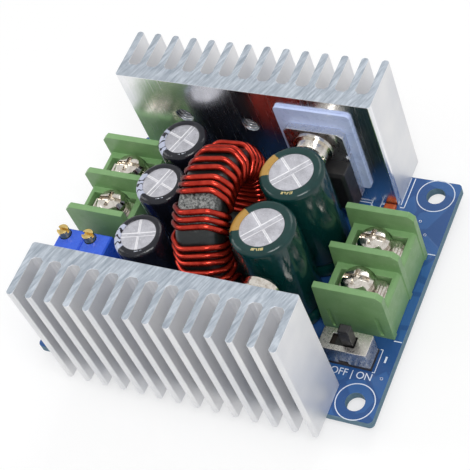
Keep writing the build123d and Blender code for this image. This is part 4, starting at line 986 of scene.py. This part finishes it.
@dataclass
class Board:
    """Circuit board with its print, vias and solder joints."""

    edge: float = 0.06
    chip_edge: float = 0.04
    ring_radius: float = 3.1
    via_lift: float = 0.01
    word_lift: float = 0.002
    word_height: float = 0.02
    words: tuple[tuple[str, str, tuple[float, float], tuple[float, float]], ...] = (
        ("printed_word", "OFF | ON", (20.6, -16.0), (27.35, -14.4)),
        ("printed_number", "1", (28.3, -12.1), (28.62, -11.0)))
    hole_places: tuple[tuple[float, float], ...] = (
        (-26.3, -19.5), (26.3, -19.5), (-26.3, 19.5), (26.3, 19.5))
    ring_steps: int = 64
    print_low: float = BOARD_TOP + PRINT_LIFT
    via_places: tuple[tuple[float, float], ...] = (
        (26.98, 11.77), (25.4, 14.2), (28.9, -14.8), (20.2, -18.3), (-25.2, 13.0), (-21.5, 15.4),
        (-17.5, -13.4), (6.2, 12.3), (17.9, 11.9), (4.6, -12.9), (16.2, -12.4), (-6.2, 13.7),
        (21.9, 11.2), (-5.2, -13.5))
    strokes: tuple[tuple[tuple[float, float], ...], ...] = (
        ((27.1, -14.1), (27.5, -14.1), (27.5, -10.0), (27.1, -10.0)),
        ((21.2, 16.7), (21.2, 22.3)), ((21.9, 16.2), (21.9, 22.3)), ((21.2, 16.2), (21.9, 16.2)),
        ((13.5, 16.15), (16.1, 16.15), (16.6, 15.6)), ((16.3, 15.5), (16.3, 17.5)),
        ((28.6, 8.35), (29.9, 8.35)), ((28.6, -8.1), (29.9, -8.1)),
        ((17.9, 14.9), (17.9, 16.3), (18.5, 16.3)), ((17.9, 14.9), (18.5, 14.9)),
        ((-29.6, -15.1), (-19.4, -15.1), (-19.4, -4.6)), ((-28.6, 14.4), (-16.5, 14.4)))
    under: tuple[str, ...] = ("controller_chip", "amplifier_chip", "shunt_resistor", "chip_resistors",
                              "chip_capacitors")

    def lines(self) -> None:
        """Print the rings round the holes and the straight strokes."""
        points: list[Point] = []
        edges: list[tuple[int, int]] = []
        turns = [2 * math.pi * step / self.ring_steps for step in range(self.ring_steps)]
        for x, y in self.hole_places:
            ring = [(x + self.ring_radius * math.cos(turn), y + self.ring_radius * math.sin(turn),
                     self.print_low) for turn in turns]
            edges += chain(ring, True, len(points))
            points += ring
        for stroke in self.strokes:
            line = [(x, y, self.print_low) for x, y in stroke]
            edges += chain(line, False, len(points))
            points += line
        dressed(stroke_recipe().apply("printed_lines", points, edges), Look.INK, "board_assembly")

    def build(self) -> None:
        """Build the board's own pieces and dress its underside."""
        softened("circuit_board", self.edge)
        self.lines()
        for name, word, low, high in self.words:
            print_box = ((*low, BOARD_TOP + self.word_lift), (*high, 0.0))
            dressed(lettering(name, word, *print_box, self.word_height), Look.INK, "board_assembly")
        spots = [(x, y, BOARD_TOP + self.via_lift) for x, y in self.via_places]
        vias = via_recipe().apply("plated_vias", spots)
        dressed(vias, Look.TINNED_METAL, "board_assembly")
        feet = [(spot.x, spot.y, 0.0) for spot in islands("solder_joints")]
        joints = joint_recipe().apply("solder_joints_look", feet)
        dressed(joints, Look.SOLDER, "board_assembly", ["solder_joints"])
        for node in self.under:
            softened(node, self.chip_edge)


@dataclass
class Heatsinks:
    """Front and rear heatsink with the power devices screwed to them."""

    edge: float = 0.10
    pad_edge: float = 0.08
    case_edge: float = 0.15
    fine_edge: float = 0.06
    screw_edge: float = 0.14
    sides: tuple[str, ...] = ("front", "rear")
    hole_height: float = 18.2
    free_holes: tuple[tuple[str, tuple[float, float], float, float], ...] = (
        ("front", (-11.76, 0.44), -17.12, math.pi / 2), ("rear", (-13.5, -1.3), 16.47, -math.pi / 2))

    def build(self) -> None:
        """Build both heatsinks, the devices, their pads and fasteners."""
        for side in self.sides:
            softened(f"{side}_heatsink", self.edge)
            softened(f"{side}_insulating_pad", self.pad_edge)
            softened(f"{side}_device_case", self.case_edge, segments=3)
            softened(f"{side}_device_leads", self.fine_edge)
        threads = thread_recipe()
        for side, across, face, turn in self.free_holes:
            piece = threads.apply(f"{side}_threads", [(x, face, self.hole_height) for x in across], turn=turn)
            dressed(piece, Look.THREAD, "board_assembly")
        softened("device_bushes", self.fine_edge)
        softened("device_washers", self.fine_edge)
        softened("device_screws", self.screw_edge, Look.NICKEL, 3)


@dataclass
class Capacitor:
    """One can with its printed sleeve, its top scored with a cross."""

    name: str
    radius: float
    disc: float
    score_angle: float
    wide_score: float
    shoulder: float = 0.85
    film: float = 0.14
    lip: float = 0.20
    crimp: float = 0.30
    crimp_height: float = 2.6
    crimp_half: float = 0.7
    can_inset: float = 0.16
    can_sunk: float = 0.13
    can_foot: float = 2.95
    score_half: float = 0.03
    score_slope: float = 0.17
    score_depth: float = 0.10
    steps: int = 72

    def place(self) -> tuple[Vector, float, float]:
        """Middle of the can, and its sleeve's lowest and highest height."""
        low, high = node_box(f"{self.name}_sleeve")
        return (low + high) / 2, low.z, high.z

    def sleeve(self, look: Look) -> None:
        """Build the sleeve: crimp near the base, rolled shoulder and curled lip.

        Args:
            look: Film and print of the sleeve.
        """
        middle, low, high = self.place()
        start = low + self.crimp_height - self.crimp_half
        end = low + self.crimp_height + self.crimp_half
        inside = self.radius - self.film
        bow = [(self.radius - self.crimp * math.sin(math.pi * step / 6),
                start + 2 * self.crimp_half * step / 6) for step in range(1, 6)]
        roll = [(self.radius - self.shoulder + self.shoulder * math.cos(math.pi * step / 16),
                 high - self.shoulder + self.shoulder * math.sin(math.pi * step / 16)) for step in range(9)]
        outer = [(self.radius - 0.06, low), (self.radius, low + 0.3), (self.radius, start), *bow,
                 (self.radius, end), *roll,
                 (self.disc + 0.35, high), (self.disc + 0.12, high - 0.01), (self.disc + 0.02, high - 0.05)]
        inner = [(self.disc, high - self.lip), (self.radius - self.shoulder, high - self.lip),
                 (self.radius - 0.36, high - 0.48), (inside, high - self.shoulder), (inside, end),
                 (inside - self.crimp, low + self.crimp_height), (inside, start), (inside - 0.02, low)]
        where = Matrix.Translation(Vector((middle.x, middle.y, 0.0)) * MM)
        piece = revolved(f"{self.name}_sleeve_look", outer + inner, self.steps, where)
        dressed(piece, look, "board_assembly", [f"{self.name}_sleeve"])

    def scored(self, top: float) -> bmesh.types.BMesh:
        """Flat disc with its cross of pressed scores.

        Args:
            top: Height of the disc in millimetres.

        Returns:
            Disc round the origin, in millimetres.
        """
        work = bmesh.new()
        bmesh.ops.create_circle(work, cap_ends=True, segments=self.steps, radius=self.disc + 0.25)
        turn = Matrix.Rotation(math.radians(self.score_angle), 3, "Z")
        scores = ((turn @ Vector((1, 0, 0)), self.score_half), (turn @ Vector((0, 1, 0)), self.wide_score))
        for across, half in scores:
            for offset in (-half - self.score_slope, -half, half, half + self.score_slope):
                bmesh.ops.bisect_plane(work, geom=work.verts[:] + work.edges[:] + work.faces[:], dist=1e-5,
                                       plane_co=across * offset, plane_no=across)
        for vertex in work.verts:
            sunk = any(abs(vertex.co.dot(across)) < half + 0.05 for across, half in scores)
            deep = sunk and vertex.co.length < self.disc + 0.2
            vertex.co.z = top - (self.score_depth if deep else 0.0)
        return work

    def can(self) -> None:
        """Build the can: scored disc, hidden wall with its crimp, and floor."""
        middle, low, high = self.place()
        top = high - self.can_sunk
        wall = self.radius - self.can_inset
        crimp = low + self.crimp_height
        work = self.scored(top)
        rim = [edge for edge in work.edges if edge.is_boundary]
        rings = ((self.radius - 0.9, top - 0.04), (self.radius - 0.42, top - 0.4), (wall, top - 0.95),
                 (wall, crimp + self.crimp_half), (wall - 0.02 - self.crimp, crimp),
                 (wall, crimp - self.crimp_half), (self.radius - 0.2, self.can_foot),
                 (self.radius - 0.7, self.can_foot - 0.03))
        for radius, height in rings:
            made = bmesh.ops.extrude_edge_only(work, edges=rim)["geom"]
            rim = [item for item in made if isinstance(item, bmesh.types.BMEdge)]
            for vertex in (item for item in made if isinstance(item, bmesh.types.BMVert)):
                flat = vertex.co.to_2d().normalized() * radius
                vertex.co = Vector((flat.x, flat.y, height))
        bmesh.ops.contextual_create(work, geom=rim)
        for vertex in work.verts:
            vertex.co = (vertex.co + Vector((middle.x, middle.y, 0.0))) * MM
        piece = written(f"{self.name}_can_look", work)
        piece.data.set_sharp_from_angle(angle=math.radians(20.0))
        dressed(piece, Look.CAN, "board_assembly", [f"{self.name}_can"])
        # The sloped sides of the scores get a brighter material as a painted highlight.
        piece.data.materials.append(Look.SCORE.value.material())
        for face in piece.data.polygons:
            flank = face.center.z / MM > top - 0.099 and 0.2 < face.normal.z < 0.97
            face.material_index = 1 if flank else 0

    def marks(self, look: Look, angles: Sequence[float]) -> None:
        """Print small marks along the shoulder.

        Args:
            look: Ink.
            angles: Where each mark stands, in degrees.
        """
        middle, _, high = self.place()
        points: list[Point] = []
        edges: list[tuple[int, int]] = []
        chance = random.Random(SEED + int(10 * middle.y))
        for angle in angles:
            tilt = chance.uniform(-4.0, 4.0)
            line = [(middle.x + reach * math.cos(math.radians(angle + lean)),
                     middle.y + reach * math.sin(math.radians(angle + lean)), high + PRINT_LIFT)
                    for reach, lean in ((self.disc + 0.35, 0.0), (self.radius - self.shoulder - 0.05, tilt))]
            edges += chain(line, False, len(points))
            points += line
        piece = stroke_recipe().apply(f"{self.name}_marks", points, edges, line_width=0.17 * MM)
        dressed(piece, look, "board_assembly")

    def build(self, look: Look, ink: Look, angles: Sequence[float]) -> None:
        """Build the sleeve, the can and the marks.

        Args:
            look: Film and print of the sleeve.
            ink: Ink of the marks.
            angles: Where each mark stands, in degrees.
        """
        self.sleeve(look)
        self.can()
        self.marks(ink, angles)


@dataclass
class Inductor:
    """Ring core on edge with two enamelled strands wound round it."""

    centre: Point = (0.3, -0.2, 15.08)
    yaw: float = 4.0
    core_radius: float = 11.45
    bore_radius: float = 7.15
    core_half: float = 3.6
    core_steps: int = 96
    round_steps: int = 6
    rim_round: float = 1.5
    bore_round: float = 0.8
    wire_radius: float = 0.48
    wire_rim: float = 12.05
    wire_bore: float = 6.55
    wire_side: float = 4.2
    bend_outer: float = 1.9515
    bend_inner: float = 1.1515
    groups: tuple[tuple[float, int, float], ...] = (
        (-18, 4, 10), (21, 3, 6), (49, 3, 5.5), (76, 3, 5.5), (96, 2, 9), (118, 2, 5.5), (141, 6, 7.5),
        (190, 3, 10))
    rim_slant: float = 1.75
    bore_start: float = -8.5
    bore_step: float = 9.1
    bore_slant: float = 3.0
    strands: int = 2
    first_leads: tuple[float, float] = (9.4, 7.4)
    knee: tuple[float, float] = (7.9, -2.6)
    last_leads: tuple[float, float] = (-9.5, -7.0)
    lead_straight: float = 1.0

    def point(self, along: float, forward: float, up: float) -> Point:
        """Point along the coil's axis, towards the front and up from its centre."""
        turn = math.radians(self.yaw)
        return (self.centre[0] + along * math.cos(turn) + forward * math.sin(turn),
                self.centre[1] + along * math.sin(turn) - forward * math.cos(turn), self.centre[2] + up)

    def polar(self, along: float, radius: float, angle: float) -> Point:
        """Point by radius and by angle, measured from the front upwards."""
        turn = math.radians(angle)
        return self.point(along, radius * math.cos(turn), radius * math.sin(turn))

    def lead(self, forward: float) -> list[Point]:
        """Straight lead up through the board on the right side."""
        low = -self.centre[2]
        return [self.point(self.wire_side, forward, low),
                self.point(self.wire_side, forward, low + BOARD_TOP + self.lead_straight)]

    def spoke(self, side: int, rim: float, bore: float) -> list[Point]:
        """Wire down one face of the core, from its bend at the rim to its bend at the bore.

        Args:
            side: 1 for the right face, -1 for the left one.
            rim: Angle at the rim, in degrees.
            bore: Angle in the bore, in degrees.

        Returns:
            Four corner points in millimetres.
        """
        corners = ((self.wire_side - self.bend_outer, self.wire_rim),
                   (self.wire_side, self.wire_rim - self.bend_outer),
                   (self.wire_side, self.wire_bore + self.bend_inner),
                   (self.wire_side - self.bend_inner, self.wire_bore))
        lean = (bore - rim) / (self.wire_rim - self.wire_bore)
        return [self.polar(side * along, radius, rim + (self.wire_rim - radius) * lean)
                for along, radius in corners]

    def strand(self, number: int) -> list[Point]:
        """Route of one strand from its first lead to its last.

        Args:
            number: 0 or 1.

        Returns:
            Corner points in millimetres.
        """
        rims = [start + wire * step for start, count, step in self.groups for wire in range(count)]
        first = rims[number] + self.rim_slant
        route = self.lead(self.first_leads[number])
        if number:
            route.append(self.point(self.wire_side, *self.knee))
        route.append(self.polar(self.wire_side, self.wire_rim - self.bend_outer, first))
        route.append(self.polar(self.wire_side - self.bend_outer, self.wire_rim, first))
        for wire in range(number, len(rims), self.strands):
            bore = self.bore_start + wire * self.bore_step
            out = bore + self.bore_slant
            route += self.spoke(-1, rims[wire] - self.rim_slant, bore)
            if wire + self.strands < len(rims):
                route += self.spoke(1, rims[wire + self.strands] + self.rim_slant, out)[::-1]
            else:
                route.append(self.polar(self.wire_side - self.bend_inner, self.wire_bore, out))
                route.append(self.polar(self.wire_side, self.wire_bore + self.bend_inner, out))
        return route + self.lead(self.last_leads[number])[::-1]

    def core(self) -> None:
        """Build the coated ring with rounded edges."""
        profile = []
        corners = ((self.core_radius, 1, self.rim_round), (self.bore_radius, 1, -self.bore_round),
                   (self.bore_radius, -1, -self.bore_round), (self.core_radius, -1, self.rim_round))
        for quarter, (radius, end, inward) in enumerate(corners):
            rounding = abs(inward)
            for step in range(self.round_steps + 1):
                turn = math.pi / 2 * (quarter + step / self.round_steps)
                profile.append((radius - inward + rounding * math.cos(turn),
                                end * (self.core_half - rounding) + rounding * math.sin(turn)))
        turn = Matrix.Rotation(math.radians(self.yaw), 4, "Z") @ Matrix.Rotation(math.radians(90.0), 4, "Y")
        where = Matrix.Translation(Vector(self.centre) * MM) @ turn
        piece = revolved("inductor_core_look", profile, self.core_steps, where)
        dressed(piece, Look.CORE, "board_assembly", ["inductor_core"])

    def build(self) -> None:
        """Build the core and both strands."""
        self.core()
        points: list[Point] = []
        edges: list[tuple[int, int]] = []
        for number in range(self.strands):
            route = self.strand(number)
            edges += chain(route, False, len(points))
            points += route
        wire = wire_recipe().apply("inductor_winding_look", points, edges, wire_radius=self.wire_radius * MM)
        dressed(wire, Look.ENAMELLED_WIRE, "board_assembly", ["inductor_winding"])


@dataclass
class TerminalBlock:
    """Two-way screw terminal: housing, contacts, clamps and screws."""

    row: str
    edge: float = 0.18
    contact_edge: float = 0.05
    plate_edge: float = 0.09
    washer_edge: float = 0.12
    head_edge: float = 0.10
    dome: float = 0.42
    head_height: float = 2.2

    def build(self) -> None:
        """Build every piece of the block."""
        softened(f"{self.row}_terminal_housing", self.edge)
        softened(f"{self.row}_terminal_contacts", self.contact_edge)
        for number in (1, 2):
            softened(f"{self.row}_clamp_plate_{number}", self.plate_edge, Look.NICKEL)
            softened(f"{self.row}_spring_washer_{number}", self.washer_edge, Look.NICKEL)
            domed(f"{self.row}_terminal_screw_{number}", Look.NICKEL, self.dome, self.head_height,
                  self.head_edge)


@dataclass
class Controls:
    """Two trimmers, the slide switch and the indicator lamp."""

    edge: float = 0.12
    screw_edge: float = 0.08
    sides: tuple[str, ...] = ("left", "right")
    others: tuple[tuple[str, float, Optional[Look]], ...] = (
        ("trimmer_pins", 0.04, None), ("switch_shell", 0.09, Look.SWITCH_METAL),
        ("switch_base", 0.05, Look.SWITCH_BASE), ("switch_slider", 0.10, Look.BLACK_MOULDING),
        ("switch_pins", 0.04, None), ("indicator_lamp", 0.10, None))

    def build(self) -> None:
        """Build the trimmers, the switch and the lamp."""
        for side in self.sides:
            softened(f"{side}_trimmer_housing", self.edge)
            softened(f"{side}_trimmer_screw", self.screw_edge, Look.BRASS)
        for node, edge, look in self.others:
            softened(node, edge, look)


@dataclass
class Lamp:
    """Soft square lamp that looks at the object."""

    name: str
    place: Point
    size: float
    power: float

    def build(self) -> None:
        """Build the lamp."""
        light = bpy.data.lights.new(self.name, "AREA")
        light.size = self.size
        light.energy = self.power
        lamp = bpy.data.objects.new(self.name, light)
        lamp.location = self.place
        lamp.rotation_euler = (-Vector(self.place)).to_track_quat("-Z", "Y").to_euler()
        bpy.context.scene.collection.objects.link(lamp)


@dataclass
class Studio:
    """Camera, lamps, world and floor."""

    camera_place: Point = (0.100226, -0.104586, 0.186652)
    camera_turn: Point = (36.4398, 16.1358, 23.0277)
    lens: float = 109.33
    sensor: float = 36.0
    clip: tuple[float, float] = (0.01, 10.0)
    ambient: float = 0.50
    mirrored_sky: float = 0.85
    floor_level: float = -1.75
    floor_reach: float = 1.5
    lamps: tuple[Lamp, ...] = (
        Lamp("key_lamp", (0.20, -0.16, 0.42), 0.20, 0.95),
        Lamp("side_lamp", (-0.34, -0.06, 0.26), 0.20, 0.30),
        Lamp("rear_lamp", (0.02, 0.34, 0.34), 0.20, 0.28))

    def camera(self) -> None:
        """Build the camera that matches the photograph."""
        data = bpy.data.cameras.new("photo_camera")
        data.sensor_width = self.sensor
        data.lens = self.lens
        data.clip_start, data.clip_end = self.clip
        camera = bpy.data.objects.new("photo_camera", data)
        camera.location = self.camera_place
        camera.rotation_euler = tuple(math.radians(turn) for turn in self.camera_turn)
        bpy.context.scene.collection.objects.link(camera)
        bpy.context.scene.camera = camera

    def world(self) -> None:
        """Build the world: white where it is looked at, dimmer where it lights."""
        world = bpy.data.worlds.new("studio_world")
        bpy.context.scene.world = world
        world.use_nodes = True
        sky = Wiring(world.node_tree)
        rays = sky.add("ShaderNodeLightPath").outputs
        seen = sky.count("MAXIMUM", rays["Is Camera Ray"], rays["Is Transmission Ray"])
        mirrored = sky.product(rays["Is Glossy Ray"], self.mirrored_sky)
        level = sky.count("MAXIMUM", sky.count("MAXIMUM", seen, mirrored), self.ambient)
        back = sky.tree.nodes["Background"]
        sky.feed(back.inputs["Color"], paint((1.0, 1.0, 1.0)))
        sky.feed(back.inputs["Strength"], level)

    def floor(self) -> None:
        """Build the floor under the leads' ends."""
        work = bmesh.new()
        bmesh.ops.create_grid(work, x_segments=1, y_segments=1, size=self.floor_reach)
        for vertex in work.verts:
            vertex.co.z = self.floor_level * MM
        piece = written("floor", work)
        piece.data.materials.append(Look.FLOOR.value.material())

    def build(self) -> None:
        """Build the whole studio and set the view."""
        self.camera()
        self.world()
        for lamp in self.lamps:
            lamp.build()
        self.floor()
        bpy.context.scene.view_settings.view_transform = "Standard"


@dataclass
class Module:
    """The whole converter module in its order of assembly."""

    studio: Studio = field(default_factory=Studio)
    board: Board = field(default_factory=Board)
    heatsinks: Heatsinks = field(default_factory=Heatsinks)
    inductor: Inductor = field(default_factory=Inductor)
    blocks: tuple[TerminalBlock, ...] = (TerminalBlock("left"), TerminalBlock("right"))
    controls: Controls = field(default_factory=Controls)
    small_cans: tuple[Capacitor, ...] = (
        Capacitor("rear_input_capacitor", 4.2, 2.9, 71.0, 0.24),
        Capacitor("middle_input_capacitor", 4.2, 2.9, 71.0, 0.24),
        Capacitor("front_input_capacitor", 4.2, 2.9, 16.0, 0.24))
    small_marks: tuple[float, ...] = (-76.0, -71.0, -66.0, -61.0, -56.0)
    large_cans: tuple[Capacitor, ...] = (
        Capacitor("rear_output_capacitor", 5.2, 3.5, 47.0, 0.34),
        Capacitor("front_output_capacitor", 5.2, 3.5, 47.0, 0.34))
    large_marks: tuple[float, ...] = (-89.0, -86.0, -83.0, -80.0, -74.0, -71.0, -68.0, -65.0)
    seal_edge: float = 0.05
    lead_edge: float = 0.04

    def build(self) -> None:
        """Build every sub-assembly."""
        self.studio.build()
        self.board.build()
        self.heatsinks.build()
        for can in self.small_cans:
            can.build(Look.BLACK_SLEEVE, Look.WHITE_PRINT, self.small_marks)
        for can in self.large_cans:
            can.build(Look.GREEN_SLEEVE, Look.GOLD_PRINT, self.large_marks)
        softened("capacitor_seals", self.seal_edge)
        softened("capacitor_leads", self.lead_edge)
        self.inductor.build()
        for block in self.blocks:
            block.build()
        self.controls.build()


def main() -> None:
    """Build the module."""
    logging.basicConfig(level=logging.INFO, format="%(message)s")
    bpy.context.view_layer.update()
    Module().build()


if __name__ == "__main__":
    main()
